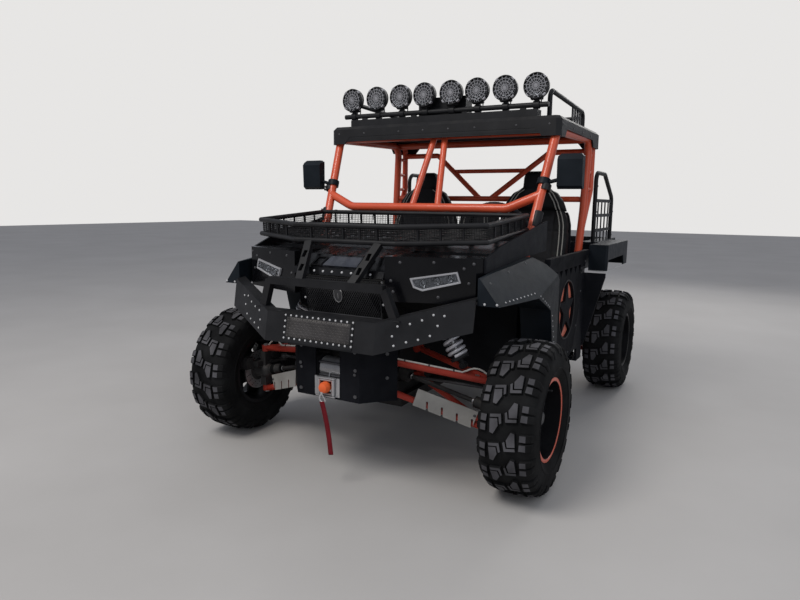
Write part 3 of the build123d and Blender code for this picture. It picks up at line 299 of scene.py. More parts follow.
def add_box(work: bmesh.types.BMesh, low: Point, high: Point, bevel: float = 0.0,
            place: Matrix | None = None) -> None:
    """Add a box from its lowest and highest corners, its edges rounded by a bevel.

    Args:
        work: The bmesh that receives it.
        low: Its lowest corner.
        high: Its highest corner.
        bevel: The width of the rounding on every edge.
        place: The frame that the corners are given in, or None for the vehicle's.
    """
    part = bmesh.new()
    bmesh.ops.create_cube(part, size=1.0)
    size = Vector(high) - Vector(low)
    middle = (Vector(high) + Vector(low)) / 2
    bmesh.ops.transform(part, matrix=Matrix.Translation(middle) @ Matrix.Diagonal((*size, 1)),
                        verts=part.verts)
    merge_into(work, part, place or Matrix(), bevel)


def merge_into(work: bmesh.types.BMesh, part: bmesh.types.BMesh, place: Matrix, bevel: float = 0.0,
               steps: int = 2) -> None:
    """Round a part's edges, put it in place and add it to a bmesh; the part is freed.

    Args:
        work: The bmesh that receives it.
        part: The part.
        place: Where it goes.
        bevel: The width of the rounding on every edge.
        steps: Faces across the rounding.
    """
    if bevel > 0:
        bmesh.ops.recalc_face_normals(part, faces=part.faces)
        bmesh.ops.bevel(part, geom=list(part.edges), offset=bevel, offset_type="OFFSET", segments=steps,
                        profile=0.7, affect="EDGES", clamp_overlap=True)
    part.transform(place)
    carried = bpy.data.meshes.new("carried")
    part.to_mesh(carried)
    part.free()
    work.from_mesh(carried)
    bpy.data.meshes.remove(carried)


def add_grid(work: bmesh.types.BMesh, rows: Sequence[Sequence[bmesh.types.BMVert]]) -> None:
    """Add the faces between rows of vertices, each row with the next.

    Args:
        work: The bmesh that holds them.
        rows: Rows of one length.
    """
    for low, high in zip(rows, rows[1:]):
        for index in range(len(low) - 1):
            work.faces.new((low[index], low[index + 1], high[index + 1], high[index]))


def square(half: float) -> list[tuple[float, float]]:
    """Return the corners of a square about the origin."""
    return [(-half, -half), (half, -half), (half, half), (-half, half)]


def mirrored(things: Iterable[Point]) -> list[tuple[float, float, float]]:
    """Return points of the left side followed by their right-hand twins."""
    left = [tuple(p) for p in things]
    return left + [(-x, y, z) for x, y, z in left]


def add_mirror(work: bmesh.types.BMesh) -> None:
    """Add the right-hand twin of everything in a bmesh that holds the left side.

    Args:
        work: The bmesh.
    """
    twin = work.copy()
    bmesh.ops.transform(twin, matrix=Matrix.Diagonal((-1, 1, 1, 1)), verts=twin.verts)
    bmesh.ops.reverse_faces(twin, faces=twin.faces)
    merge_into(work, twin, Matrix())


def apply_modifiers(thing: bpy.types.Object) -> None:
    """Replace an object's mesh by what its modifiers make of it, and drop them.

    Args:
        thing: The object.
    """
    bpy.context.view_layer.update()
    evaluated = thing.evaluated_get(bpy.context.evaluated_depsgraph_get())
    made = bpy.data.meshes.new_from_object(evaluated)
    thing.modifiers.clear()
    old = thing.data
    thing.data = made
    if isinstance(old, bpy.types.Mesh):
        bpy.data.meshes.remove(old)


# Finishes


class Tree:
    """A node tree with short ways to add and join nodes."""

    def __init__(self, tree: bpy.types.NodeTree) -> None:
        """Take up a tree."""
        self.tree = tree

    def add(self, kind: str, links: dict[str | int, Given] | None = None,
            **settings: str | bool) -> bpy.types.Node:
        """Add a node, set its properties and fill its inputs.

        Args:
            kind: The node's type.
            links: Input name or index to a socket or a plain value.
            **settings: Properties of the node itself.

        Returns:
            The node.
        """
        node = self.tree.nodes.new(kind)
        for key, value in settings.items():
            setattr(node, key, value)
        for key, value in (links or {}).items():
            self.fill(node.inputs[key], value)
        return node

    def fill(self, socket: bpy.types.NodeSocket, value: Given) -> None:
        """Join a socket to another one, or set its value.

        Args:
            socket: The socket to fill.
            value: The other socket, or the plain value.
        """
        if isinstance(value, bpy.types.NodeSocket):
            self.tree.links.new(value, socket)
        else:
            socket.default_value = value


class Links(Tree):
    """A material's node tree with what its finish needs."""

    def __init__(self, name: str) -> None:
        """Start an empty material whose shader is a Principled BSDF.

        Args:
            name: The material's name.
        """
        self.material = bpy.data.materials.new(name)
        self.material.use_nodes = True
        super().__init__(self.material.node_tree)
        self.shader = self.tree.nodes["Principled BSDF"]
        self.place = self.tree.nodes.new("ShaderNodeTexCoord").outputs["Object"]

    def noise(self, scale: float, detail: float = 4.0, rough: float = 0.55) -> bpy.types.NodeSocket:
        """Return a noise value over the object's own coordinates."""
        return self.add("ShaderNodeTexNoise", {"Vector": self.place, "Scale": scale, "Detail": detail,
                                               "Roughness": rough}).outputs["Fac"]

    def between(self, value: bpy.types.NodeSocket, low: float, high: float, out_low: float = 0.0,
                out_high: float = 1.0) -> bpy.types.NodeSocket:
        """Return a value mapped from one range to another, held at its ends."""
        return self.add("ShaderNodeMapRange",
                        {0: value, 1: low, 2: high, 3: out_low, 4: out_high}).outputs[0]

    def times(self, first: Given, second: Given) -> bpy.types.NodeSocket:
        """Return the product of two values."""
        return self.add("ShaderNodeMath", {0: first, 1: second}, operation="MULTIPLY").outputs[0]

    def mix(self, share: Given, first: Given, second: Given) -> bpy.types.NodeSocket:
        """Return two colours mixed by a share.

        Args:
            share: How much of the second colour.
            first: The first colour.
            second: The second colour.

        Returns:
            The mixed colour.
        """
        node = self.add("ShaderNodeMix", data_type="RGBA")
        self.fill(node.inputs[0], share)
        self.fill(node.inputs[6], first if isinstance(first, bpy.types.NodeSocket) else (*first, 1))
        self.fill(node.inputs[7], second if isinstance(second, bpy.types.NodeSocket) else (*second, 1))
        return node.outputs[2]

    def bump(self, height: bpy.types.NodeSocket, depth: float, strength: float = 0.5) -> None:
        """Give the shader a bump of a height, in metres."""
        node = self.add("ShaderNodeBump", {"Height": height, "Distance": depth, "Strength": strength})
        self.fill(self.shader.inputs["Normal"], node.outputs[0])


class Grain(Enum):
    """The fine relief of a finish."""

    ORANGE_PEEL = "smooth paint's faint waviness"
    MOULDED = "the stipple of moulded plastic"
    CAST = "the pitted skin of a casting"
    LEATHER = "the cells of leather"
    WOVEN = "a plain weave"
    BRUSHED = "fine lines along X"


@dataclass(frozen=True)
class Finish:
    """One finish, from its colour to its grain and dirt."""

    name: str
    colour: tuple[float, float, float]
    rough: float
    grain: Grain
    metal: float = 0.0
    coat: float = 0.0
    mottle: float = 0.12
    dust: float = 0.0
    dust_colour: tuple[float, float, float] = (0.30, 0.28, 0.25)
    grain_scale: float = 400.0
    grain_depth: float = 0.0003
    shine: float = 0.35

    def material(self) -> bpy.types.Material:
        """Return the finish's material, made once.

        Returns:
            The material.
        """
        found = bpy.data.materials.get(self.name)
        if found:
            return found
        links = Links(self.name)
        for name, value in (("Metallic", self.metal), ("Coat Weight", self.coat), ("Coat Roughness", 0.08),
                            ("Specular IOR Level", self.shine)):
            links.fill(links.shader.inputs[name], value)
        patch = links.between(links.noise(7.0), 0.3, 0.7)
        dark = tuple(c * (1 - self.mottle) for c in self.colour)
        light = tuple(min(1.0, c * (1 + self.mottle) + 0.02 * self.mottle) for c in self.colour)
        colour = links.mix(patch, dark, light)
        rough = links.between(links.noise(23.0), 0.25, 0.75, max(0.03, self.rough - 0.06),
                              min(1.0, self.rough + 0.08))
        if self.dust > 0:
            facing = links.add("ShaderNodeSeparateXYZ",
                               {0: links.add("ShaderNodeNewGeometry").outputs["Normal"]})
            upward = links.between(facing.outputs[2], 0.1, 0.95, 0.25, 1.0)
            settled = links.between(links.noise(11.0, 6.0, 0.65), 0.38, 0.72)
            share = links.times(links.times(upward, settled), self.dust)
            colour = links.mix(share, colour, self.dust_colour)
            rough = links.add("ShaderNodeMath", {0: rough, 1: links.times(share, 0.35)}, operation="ADD",
                              use_clamp=True).outputs[0]
        links.fill(links.shader.inputs["Base Color"], colour)
        links.fill(links.shader.inputs["Roughness"], rough)
        links.bump(self.relief(links), self.grain_depth)
        return links.material

    def relief(self, links: Links) -> bpy.types.NodeSocket:
        """Return the height that the grain gives.

        Args:
            links: The material's tree.

        Returns:
            A height between 0 and 1.
        """
        if self.grain is Grain.LEATHER:
            cells = links.add("ShaderNodeTexVoronoi", {"Vector": links.place, "Scale": self.grain_scale},
                              feature="DISTANCE_TO_EDGE")
            return links.between(cells.outputs["Distance"], 0.0, 0.18)
        if self.grain is Grain.WOVEN:
            first = links.add("ShaderNodeTexWave", {"Vector": links.place, "Scale": self.grain_scale},
                              bands_direction="Z").outputs["Fac"]
            second = links.add("ShaderNodeTexWave", {"Vector": links.place, "Scale": self.grain_scale},
                               bands_direction="DIAGONAL").outputs["Fac"]
            return links.times(first, second)
        if self.grain is Grain.BRUSHED:
            stretched = links.add("ShaderNodeMapping", {"Vector": links.place, "Scale": (4.0, 300.0, 300.0)})
            return links.add("ShaderNodeTexNoise",
                             {"Vector": stretched.outputs[0], "Scale": 3.0}).outputs["Fac"]
        if self.grain is Grain.CAST:
            return links.noise(self.grain_scale * 0.5, 8.0, 0.7)
        return links.noise(self.grain_scale, 2.0, 0.5)


CAGE_PAINT = Finish("coral_paint", (0.66, 0.095, 0.038), 0.32, Grain.ORANGE_PEEL, coat=0.25, mottle=0.10,
                    dust=0.06, grain_scale=120.0, grain_depth=0.0002)
# Painted shade: a darker copy of the coral paint, for the arms in the shade under the body and fenders.
SHADED_ARM_PAINT = Finish("coral_arm_paint", (0.34, 0.034, 0.020), 0.42, Grain.ORANGE_PEEL, mottle=0.18, dust=0.07,
                   grain_scale=120.0, shine=0.2)
BLACK_STEEL = Finish("powder_coated_steel", (0.0090, 0.0092, 0.0110), 0.46, Grain.MOULDED, mottle=0.25,
                     dust=0.025, grain_scale=900.0, grain_depth=0.0002, shine=0.25)
# Painted shade: a darker copy of the black powder-coated steel, for the doors on the shaded side and the
# skid plate under the body.
SHADE_DARKENED_STEEL = Finish("door_sheet", (0.0050, 0.0056, 0.0080), 0.60, Grain.MOULDED, mottle=0.25, dust=0.006,
                    grain_scale=900.0, grain_depth=0.0002, shine=0.05)
FRAME_STEEL = Finish("frame_steel", (0.0055, 0.0055, 0.0060), 0.58, Grain.MOULDED, mottle=0.3, dust=0.05,
                     grain_scale=700.0, shine=0.2)
GLOSS_BLACK = Finish("gloss_black", (0.0028, 0.0029, 0.0040), 0.18, Grain.ORANGE_PEEL, coat=0.15, mottle=0.1,
                     dust=0.008, grain_scale=90.0, grain_depth=0.0001, shine=0.25)
BODY_PLASTIC = Finish("moulded_black", (0.0068, 0.0076, 0.0105), 0.50, Grain.MOULDED, mottle=0.2, dust=0.015,
                      grain_scale=1100.0, grain_depth=0.0003, shine=0.14)
FENDER_PLASTIC = Finish("fender_blue_black", (0.0070, 0.0105, 0.0150), 0.44, Grain.MOULDED, mottle=0.2,
                        dust=0.012, grain_scale=1000.0, grain_depth=0.0003, shine=0.14)
SEAM_PALE = Finish("seam_pale", (0.50, 0.50, 0.50), 0.5, Grain.MOULDED, mottle=0.1)
# Painted reflection: a blue-grey that stands for the sky seen in the hood's front slope.
HOOD_SKY_REFLECTION = Finish("hood_blue_grey", (0.040, 0.045, 0.060), 0.28, Grain.ORANGE_PEEL, coat=0.3, mottle=0.12,
                   dust=0.10)
ROOF_PLASTIC = Finish("roof_black", (0.0110, 0.0112, 0.0130), 0.52, Grain.MOULDED, mottle=0.2, dust=0.06,
                      grain_scale=1000.0, grain_depth=0.0003, shine=0.25)
TYRE_RUBBER = Finish("tyre_rubber", (0.0050, 0.0052, 0.0058), 0.74, Grain.CAST, mottle=0.35, dust=0.012,
                     grain_scale=260.0, grain_depth=0.0004, shine=0.10)
TREAD_RUBBER = Finish("tread_face", (0.064, 0.063, 0.070), 0.85, Grain.CAST, mottle=0.50, dust=0.15,
                      dust_colour=(0.20, 0.19, 0.18), grain_scale=200.0, grain_depth=0.0005, shine=0.2)
RIM_BLACK = Finish("rim_enamel", (0.0060, 0.0060, 0.0075), 0.40, Grain.ORANGE_PEEL, mottle=0.2, dust=0.02,
                   shine=0.2)
RIM_ORANGE = Finish("rim_lip_orange", (0.62, 0.09, 0.040), 0.35, Grain.ORANGE_PEEL, coat=0.3, mottle=0.1,
                    dust=0.15)
CAST_IRON = Finish("cast_iron", (0.045, 0.044, 0.045), 0.60, Grain.CAST, metal=0.5, mottle=0.4, dust=0.25,
                   grain_scale=300.0, grain_depth=0.0006)
BARE_STEEL = Finish("bare_steel", (0.42, 0.42, 0.43), 0.34, Grain.BRUSHED, metal=0.8, mottle=0.2, dust=0.12)
ZINC = Finish("zinc_plate", (0.55, 0.55, 0.56), 0.32, Grain.ORANGE_PEEL, metal=0.7, mottle=0.15)
# Painted highlight: a pale grey that stands for the glint of light on small rivet and bolt heads.
RIVET_HIGHLIGHT = Finish("rivet_grey", (0.50, 0.50, 0.51), 0.42, Grain.ORANGE_PEEL, metal=0.0, mottle=0.10)
DARK_BOLT = Finish("dark_bolt", (0.075, 0.075, 0.080), 0.40, Grain.ORANGE_PEEL, metal=0.4, mottle=0.2)
BADGE_GREY = Finish("badge_grey", (0.30, 0.295, 0.30), 0.40, Grain.CAST, metal=0.3, mottle=0.3)
TREAD_METAL = Finish("tread_plate_metal", (0.060, 0.056, 0.056), 0.42, Grain.BRUSHED, metal=0.4, mottle=0.3,
                     dust=0.15)
SPRING_STEEL = Finish("spring_paint", (0.56, 0.56, 0.60), 0.34, Grain.ORANGE_PEEL, metal=0.3, mottle=0.12,
                      dust=0.15)
GUARD_PAINT = Finish("guard_pale", (0.34, 0.33, 0.31), 0.48, Grain.MOULDED, mottle=0.2, dust=0.3)
SEAT_LEATHER = Finish("seat_leather", (0.0055, 0.0058, 0.0068), 0.55, Grain.LEATHER, mottle=0.25, dust=0.03,
                      grain_scale=260.0, grain_depth=0.0005, shine=0.2)
SEAT_MESH = Finish("seat_cloth", (0.012, 0.012, 0.014), 0.85, Grain.WOVEN, mottle=0.2, grain_scale=180.0,
                   grain_depth=0.0005)
PIPING_GREY = Finish("piping_grey", (0.34, 0.33, 0.30), 0.6, Grain.WOVEN, mottle=0.1, grain_scale=300.0)
STRAP_RED = Finish("strap_webbing", (0.150, 0.008, 0.014), 0.8, Grain.WOVEN, mottle=0.15, grain_scale=260.0,
                   grain_depth=0.0006, shine=0.15)
STOPPER_ORANGE = Finish("stopper_orange", (0.80, 0.13, 0.03), 0.45, Grain.MOULDED, mottle=0.08)
REFLECTOR = Finish("reflector", (0.060, 0.062, 0.066), 0.30, Grain.ORANGE_PEEL, metal=1.0, mottle=0.05)
LAMP_INSIDE = Finish("lamp_inside", (0.11, 0.115, 0.125), 0.26, Grain.BRUSHED, metal=0.5, mottle=0.4)
LAMP_RIM = Finish("lamp_rim", (0.42, 0.42, 0.44), 0.35, Grain.ORANGE_PEEL, metal=0.2, mottle=0.1)
LAMP_WIRE = Finish("lamp_wire", (0.30, 0.30, 0.32), 0.38, Grain.ORANGE_PEEL, mottle=0.1)
LIGHT_TRIM = Finish("light_trim", (0.020, 0.021, 0.024), 0.22, Grain.ORANGE_PEEL, metal=0.3, mottle=0.1)
STAR_ORANGE = Finish("star_backing", (0.62, 0.16, 0.10), 0.42, Grain.ORANGE_PEEL, mottle=0.35, dust=0.45)
LENS_RED = Finish("tail_lens", (0.30, 0.01, 0.01), 0.15, Grain.ORANGE_PEEL, coat=0.5, mottle=0.1)
MIRROR_SKIN = Finish("mirror_skin", (0.60, 0.62, 0.65), 0.05, Grain.ORANGE_PEEL, metal=1.0, mottle=0.02)
HOSE_PALE = Finish("hose_pale", (0.52, 0.50, 0.47), 0.5, Grain.MOULDED, mottle=0.1)


@dataclass(frozen=True)
class Glass:
    """Clear or tinted glazing."""

    name: str
    colour: tuple[float, float, float] = (0.95, 0.97, 1.0)
    rough: float = 0.03

    def material(self) -> bpy.types.Material:
        """Return the glazing's material, made once.

        Returns:
            The material.
        """
        found = bpy.data.materials.get(self.name)
        if found:
            return found
        links = Links(self.name)
        smear = links.between(links.noise(30.0), 0.3, 0.7)
        colour = links.mix(smear, self.colour, tuple(c * 0.93 for c in self.colour))
        rough = links.between(smear, 0.0, 1.0, self.rough, self.rough * 2.5)
        for name, value in (("Transmission Weight", 1.0), ("IOR", 1.35), ("Base Color", colour),
                            ("Roughness", rough)):
            links.fill(links.shader.inputs[name], value)
        return links.material


LAMP_GLASS = Glass("lamp_glass")


def dress(thing: bpy.types.Object, finish: Finish | Glass,
          body: str = "chassis") -> bpy.types.Object:
    """Give a finished piece its finish, body and material slot.

    Args:
        thing: The piece, in place.
        finish: What it is finished in.
        body: The body it moves with.

    Returns:
        The piece.
    """
    if not thing.data.materials:
        thing.data.materials.append(finish.material())
    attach(thing, body)
    log.info("%s: %d faces, on %s", thing.name, len(thing.data.polygons), body)
    return thing


def show(work: bmesh.types.BMesh, name: str, finish: Finish | Glass, body: str = "chassis",
         crease: float = 35.0) -> bpy.types.Object:
    """Turn a bmesh into a dressed piece.

    Args:
        work: The bmesh, freed here.
        name: The piece's name.
        finish: What it is finished in.
        body: The body it moves with.
        crease: Edges that turn by more degrees than this stay sharp.

    Returns:
        The piece.
    """
    return dress(to_object(work, name, crease), finish, body)


# What repeats: points that carry a direction, and a small solid set on each of them


class Head(Enum):
    """The shape of a fastener's head."""

    DOME = "a rivet's low dome"
    HEX = "a hexagon bolt"
    BAR = "a raised bar, as on tread plate"
    RING = "a round washer face"


@dataclass(frozen=True)
class Spot:
    """A place on a surface, the way it faces and how far its mark is turned there."""

    at: tuple[float, float, float]
    facing: tuple[float, float, float]
    turn: float = 0.0


class Skin:
    """The outside of some of the frame's nodes, for setting small things on it."""

    def __init__(self, *nodes: str) -> None:
        """Gather the nodes' faces.

        Args:
            nodes: The frame's nodes.
        """
        points, faces = [], []
        for name in nodes:
            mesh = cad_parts[name].data
            first = len(points)
            points += [v.co.copy() for v in mesh.vertices]
            faces += [[first + i for i in p.vertices] for p in mesh.polygons]
        self.tree = BVHTree.FromPolygons(points, faces)

    def spots(self, starts: Iterable[Point], toward: Point, both: bool = True, lift: float = 0.0,
              turn: float = 0.0) -> list[Spot]:
        """Return where lines from the starts first meet the skin.

        Args:
            starts: Points before the skin.
            toward: The direction of the lines.
            both: True adds the right-hand twin of every spot.
            lift: How far a spot stands off the skin.
            turn: How far its mark is turned.

        Returns:
            The spots.
        """
        found = []
        for start in starts:
            at, normal, _, _ = self.tree.ray_cast(Vector(start), Vector(toward))
            if at is None:
                continue
            if normal.dot(Vector(toward)) > 0:
                normal = -normal
            at = at + normal * lift
            found.append(Spot(tuple(at), tuple(normal), turn))
            if both:
                found.append(Spot((-at.x, at.y, at.z), (-normal.x, normal.y, normal.z), -turn))
        return found

    def from_ahead(self, places: Iterable[tuple[float, float]], both: bool = True, lift: float = 0.0,
                   turn: float = 0.0) -> list[Spot]:
        """Return the spots that places as (x, z) give when they are cast backwards from before the nose."""
        return self.spots([(x, NOSE_Y - CAST_RUN, z) for x, z in places], (0, 1, 0), both, lift, turn)

    def from_left(self, places: Iterable[tuple[float, float]]) -> list[Spot]:
        """Return the spots and their twins that places as (y, z) give when they are cast inwards."""
        return self.spots([(OUTSIDE_X, y, z) for y, z in places], (-1, 0, 0))


class Growth(Tree):
    """A geometry node tree that makes a mesh from an object's points and some numbers."""

    def __init__(self, name: str, numbers: Sequence[tuple[str, str]] = ()) -> None:
        """Start a tree.

        Args:
            name: The tree's name.
            numbers: Each number's name and socket type.
        """
        super().__init__(bpy.data.node_groups.new(name, "GeometryNodeTree"))
        face = self.tree.interface
        face.new_socket("Given", in_out="INPUT", socket_type="NodeSocketGeometry")
        self.keys = {label: face.new_socket(label, in_out="INPUT", socket_type=kind).identifier
                     for label, kind in numbers}
        face.new_socket("Made", in_out="OUTPUT", socket_type="NodeSocketGeometry")
        self.given = self.add("NodeGroupInput").outputs

    def mark(self, name: str, kind: str) -> bpy.types.NodeSocket:
        """Return what the points carry under a name."""
        return self.add("GeometryNodeInputNamedAttribute", {"Name": name},
                        data_type=kind).outputs["Attribute"]

    def copies(self, points: bpy.types.NodeSocket, solid: bpy.types.NodeSocket,
               turned: bpy.types.NodeSocket) -> bpy.types.NodeSocket:
        """Return a solid's real copies on points, each turned in its own way.

        Args:
            points: Where the copies stand.
            solid: What is copied.
            turned: Each copy's rotation.

        Returns:
            The copies as one mesh.
        """
        put = self.add("GeometryNodeInstanceOnPoints",
                       {"Points": points, "Instance": solid, "Rotation": turned})
        return self.add("GeometryNodeRealizeInstances",
                        {"Geometry": put.outputs["Instances"]}).outputs["Geometry"]

    def painted(self, made: bpy.types.NodeSocket, material: bpy.types.Material) -> bpy.types.NodeSocket:
        """Return a geometry in one material."""
        return self.add("GeometryNodeSetMaterial",
                        {"Geometry": made, "Material": material}).outputs["Geometry"]

    def grow(self, thing: bpy.types.Object, made: bpy.types.NodeSocket, **numbers: float) -> None:
        """End the tree, run it on an object and keep what it makes as the object's mesh.

        Args:
            thing: The object.
            made: The geometry that the tree gives.
            **numbers: The value of each number.
        """
        self.add("NodeGroupOutput", {"Made": made})
        stage = thing.modifiers.new("growth", "NODES")
        stage.node_group = self.tree
        for name, value in numbers.items():
            stage[self.keys[name]] = value
        apply_modifiers(thing)


def marked_points(name: str, places: Sequence[Point], marks: dict[str, Sequence]) -> bpy.types.Object:
    """Return an object of loose points that carry numbers or vectors.

    Args:
        name: The object's name.
        places: The points.
        marks: Each mark's name and its value at every point.

    Returns:
        The object.
    """
    mesh = bpy.data.meshes.new(name)
    mesh.from_pydata([tuple(at) for at in places], [], [])
    for mark, values in marks.items():
        single = isinstance(values[0], float)
        layer = mesh.attributes.new(mark, "FLOAT" if single else "FLOAT_VECTOR", "POINT")
        for entry, value in zip(layer.data, values):
            setattr(entry, "value" if single else "vector", value)
    return linked(name, mesh)


@dataclass
class Studs:
    """Like small heads set on many spots by one node tree."""

    name: str
    head: Head
    radius: float
    height: float

    def make(self, spots: Sequence[Spot], finish: Finish, body: str = "chassis") -> bpy.types.Object:
        """Set the heads on their spots as one plain mesh.

        Args:
            spots: Where they stand.
            finish: What they are made of.
            body: The body that carries them.

        Returns:
            The piece.
        """
        thing = marked_points(self.name, [s.at for s in spots], {"facing": [s.facing for s in spots],
                                                                 "turn": [s.turn for s in spots]})
        tree = Growth(self.name + "_tree", (("Radius", "NodeSocketFloat"), ("Height", "NodeSocketFloat")))
        radius, height = tree.given["Radius"], tree.given["Height"]
        if self.head in (Head.DOME, Head.BAR):
            rings, narrow = (6, 1.0) if self.head is Head.DOME else (4, 0.32)
            solid = tree.add("GeometryNodeMeshUVSphere",
                             {"Segments": 2 * rings, "Rings": rings, "Radius": radius})
            flat = tree.add("ShaderNodeMath", {0: height, 1: radius}, operation="DIVIDE").outputs[0]
        else:
            sides, narrow, flat = (6 if self.head is Head.HEX else 20), 1.0, 1.0
            solid = tree.add("GeometryNodeMeshCylinder",
                             {"Vertices": sides, "Radius": radius, "Depth": height})
        scale = tree.add("ShaderNodeCombineXYZ", {0: 1.0, 1: narrow, 2: flat})
        shaped = tree.add("GeometryNodeTransform",
                          {"Geometry": solid.outputs["Mesh"], "Scale": scale.outputs[0]})
        facing = tree.add("FunctionNodeAlignRotationToVector",
                          {"Vector": tree.mark("facing", "FLOAT_VECTOR")}, axis="Z")
        spin = tree.add("FunctionNodeAxisAngleToRotation",
                        {"Axis": (0, 0, 1), "Angle": tree.mark("turn", "FLOAT")})
        turned = tree.add("FunctionNodeRotateRotation", {0: facing.outputs[0], 1: spin.outputs[0]},
                          rotation_space="LOCAL")
        heads = tree.copies(tree.given["Given"], shaped.outputs["Geometry"], turned.outputs[0])
        tree.grow(thing, tree.painted(heads, finish.material()), Radius=self.radius, Height=self.height)
        thing.data.materials.clear()
        soften(thing.data, 40)
        return dress(thing, finish, body)


@dataclass
class Repeat:
    """One solid set many times by a node tree, each time at a point and turned by its own angles."""

    name: str

    def make(self, template: bpy.types.Object, spots: Sequence[tuple[Point, Point]], finish: Finish | Glass,
             slot: str) -> bpy.types.Object:
        """Set the template on its spots as one plain mesh, and remove the template.

        Args:
            template: The solid, about the origin.
            spots: Pairs of a place and three turning angles.
            finish: What it is made of.
            slot: Not used.

        Returns:
            The piece.
        """
        template.data.materials.append(finish.material())
        thing = marked_points(self.name, [at for at, _ in spots], {"turn": [angles for _, angles in spots]})
        tree = Growth(self.name + "_tree")
        solid = tree.add("GeometryNodeObjectInfo", {"Object": template})
        turned = tree.add("FunctionNodeEulerToRotation", {0: tree.mark("turn", "FLOAT_VECTOR")})
        copies = tree.copies(tree.given["Given"], solid.outputs["Geometry"], turned.outputs[0])
        tree.grow(thing, tree.painted(copies, template.data.materials[0]))
        bpy.data.objects.remove(template)
        return dress(thing, finish)


# Wheels


@dataclass
class Wheel:
    """A mud tyre on its rim: carcass, lugs, sidewall blocks, lip ring, nuts and valve."""

    corner: str
    centre: tuple[float, float, float]
    side: int
    lip_finish: Finish
    radius: float = 0.343
    width: float = 0.2484
    bead_radius: float = 0.1783
    lug_depth: float = 0.0125
    pitches: int = 18
    nut_count: int = 4

    def base_line(self) -> list[tuple[float, float]]:
        """Return the carcass's outer line from its middle to its bead as (across, radius).

        Returns:
            The line's points.
        """
        top = self.radius - self.lug_depth
        half = self.width / 2
        return [(0.0, top), (0.030, top - 0.0004), (0.062, top - 0.0020), (0.085, top - 0.0055),
                (0.102, top - 0.0125), (0.1132, top - 0.0240), (0.1186, top - 0.0400),
                (half - 0.0035, 0.262), (half - 0.0020, 0.240), (half - 0.0065, 0.214),
                (half - 0.0190, 0.193), (0.0960, self.bead_radius + 0.004), (0.0945, self.bead_radius)]

    def along(self, distance: float) -> tuple[float, float, float, float]:
        """Return across, radius and the outward direction at a distance along the base line.

        Args:
            distance: The distance from the middle of the tread.

        Returns:
            Across, radius, and the direction's two parts in the same order.
        """
        line = self.base_line()
        left = distance
        for (x0, r0), (x1, r1) in zip(line, line[1:]):
            run = math.hypot(x1 - x0, r1 - r0)
            if left <= run:
                share = left / run
                return x0 + share * (x1 - x0), r0 + share * (r1 - r0), (r0 - r1) / run, (x1 - x0) / run
            left -= run
        return line[-1][0], line[-1][1], 1.0, 0.0

    def spot(self, across: float, around: float, height: float) -> Vector:
        """Return the point over the carcass at an across distance, an arc length around and a height.

        Args:
            across: The distance from the middle of the tread, signed.
            around: The arc length around the tyre.
            height: The height over the carcass.

        Returns:
            The point, about the wheel's centre.
        """
        x, r, out_x, out_r = self.along(abs(across))
        sign = 1 if across >= 0 else -1
        reach = r + out_r * height
        angle = around / self.radius
        return Vector((sign * (x + out_x * height), reach * math.sin(angle), reach * math.cos(angle)))

    def add_lug(self, work: bmesh.types.BMesh, outline: Outline, height: float, low: float) -> None:
        """Add one lug with chamfered flanks; its top face takes the second material.

        Args:
            work: The bmesh that receives it.
            outline: Its corners as (across, around).
            height: Its top over the carcass.
            low: Its height at the end nearest the bead.
        """
        middle = Vector((sum(u for u, _ in outline) / len(outline),
                         sum(v for _, v in outline) / len(outline)))
        farthest = max(abs(u) for u, _ in outline)
        nearest = min(abs(u) for u, _ in outline)

        def tall(u: float) -> float:
            """Return the lug's height at an across distance."""
            share = (abs(u) - nearest) / max(1e-6, farthest - nearest)
            return height + share * (low - height)

        rows = []
        for draw, lift in ((1.06, -0.003), (1.02, 0.82), (0.94, 1.0)):
            row = []
            for u, v in outline:
                uu = middle.x + (u - middle.x) * draw
                vv = middle.y + (v - middle.y) * draw
                top = tall(u) * lift if lift > 0 else lift
                row.append(work.verts.new(self.spot(uu, vv, top)))
            rows.append(row)
        count = len(outline)
        for lower, upper in zip(rows, rows[1:]):
            for index in range(count):
                after = (index + 1) % count
                work.faces.new((lower[index], lower[after], upper[after], upper[index]))
        cap = work.faces.new(rows[-1])
        cap.material_index = 1
        work.faces.new(list(reversed(rows[0])))

    def lug_template(self) -> bpy.types.Object:
        """Return one pitch of the tread about angle 0: centre lugs, sipes, shoulder and side blocks.

        Returns:
            The pitch as an object outside the scene.
        """
        work = bmesh.new()
        pitch = 2 * math.pi * self.radius / self.pitches
        inner_bar = ((-0.057, 0.040), (-0.010, 0.047), (-0.0030, 0.008), (-0.0120, 0.002), (-0.0185, 0.0325),
                     (-0.056, 0.0270))
        inner_block = ((-0.056, 0.0225), (-0.0230, 0.0275), (-0.0175, -0.003), (-0.0360, -0.040),
                       (-0.052, -0.036))
        for sign in (1, -1):
            shift = 0.0 if sign > 0 else pitch / 2
            for outline in (inner_bar, inner_block):
                placed = [(sign * u, sign * v + shift) for u, v in outline]
                self.add_lug(work, placed, self.lug_depth, self.lug_depth)
            lean = 0.004
            first_bar = (((0.070, -0.038), (0.092, -0.039), (0.114, -0.038), (0.146, -0.034)),
                         ((0.070, -0.006), (0.092, -0.005), (0.114, -0.005), (0.140, -0.005)))
            second_bar = (((0.070, 0.000), (0.092, 0.001), (0.114, 0.001), (0.134, 0.002)),
                          ((0.068, 0.034), (0.092, 0.035), (0.114, 0.035), (0.130, 0.033)))
            for low_line, high_line in (first_bar, second_bar):
                line = [(-sign * u, sign * (v + lean) + shift) for u, v in low_line]
                line += [(-sign * u, sign * (v + lean) + shift) for u, v in reversed(high_line)]
                self.add_shoulder(work, line, len(low_line))
        bmesh.ops.recalc_face_normals(work, faces=work.faces)
        mesh = bpy.data.meshes.new(f"lug_pitch_{self.corner}")
        work.to_mesh(mesh)
        work.free()
        mesh.materials.append(TYRE_RUBBER.material())
        mesh.materials.append(TREAD_RUBBER.material())
        return bpy.data.objects.new(mesh.name, mesh)

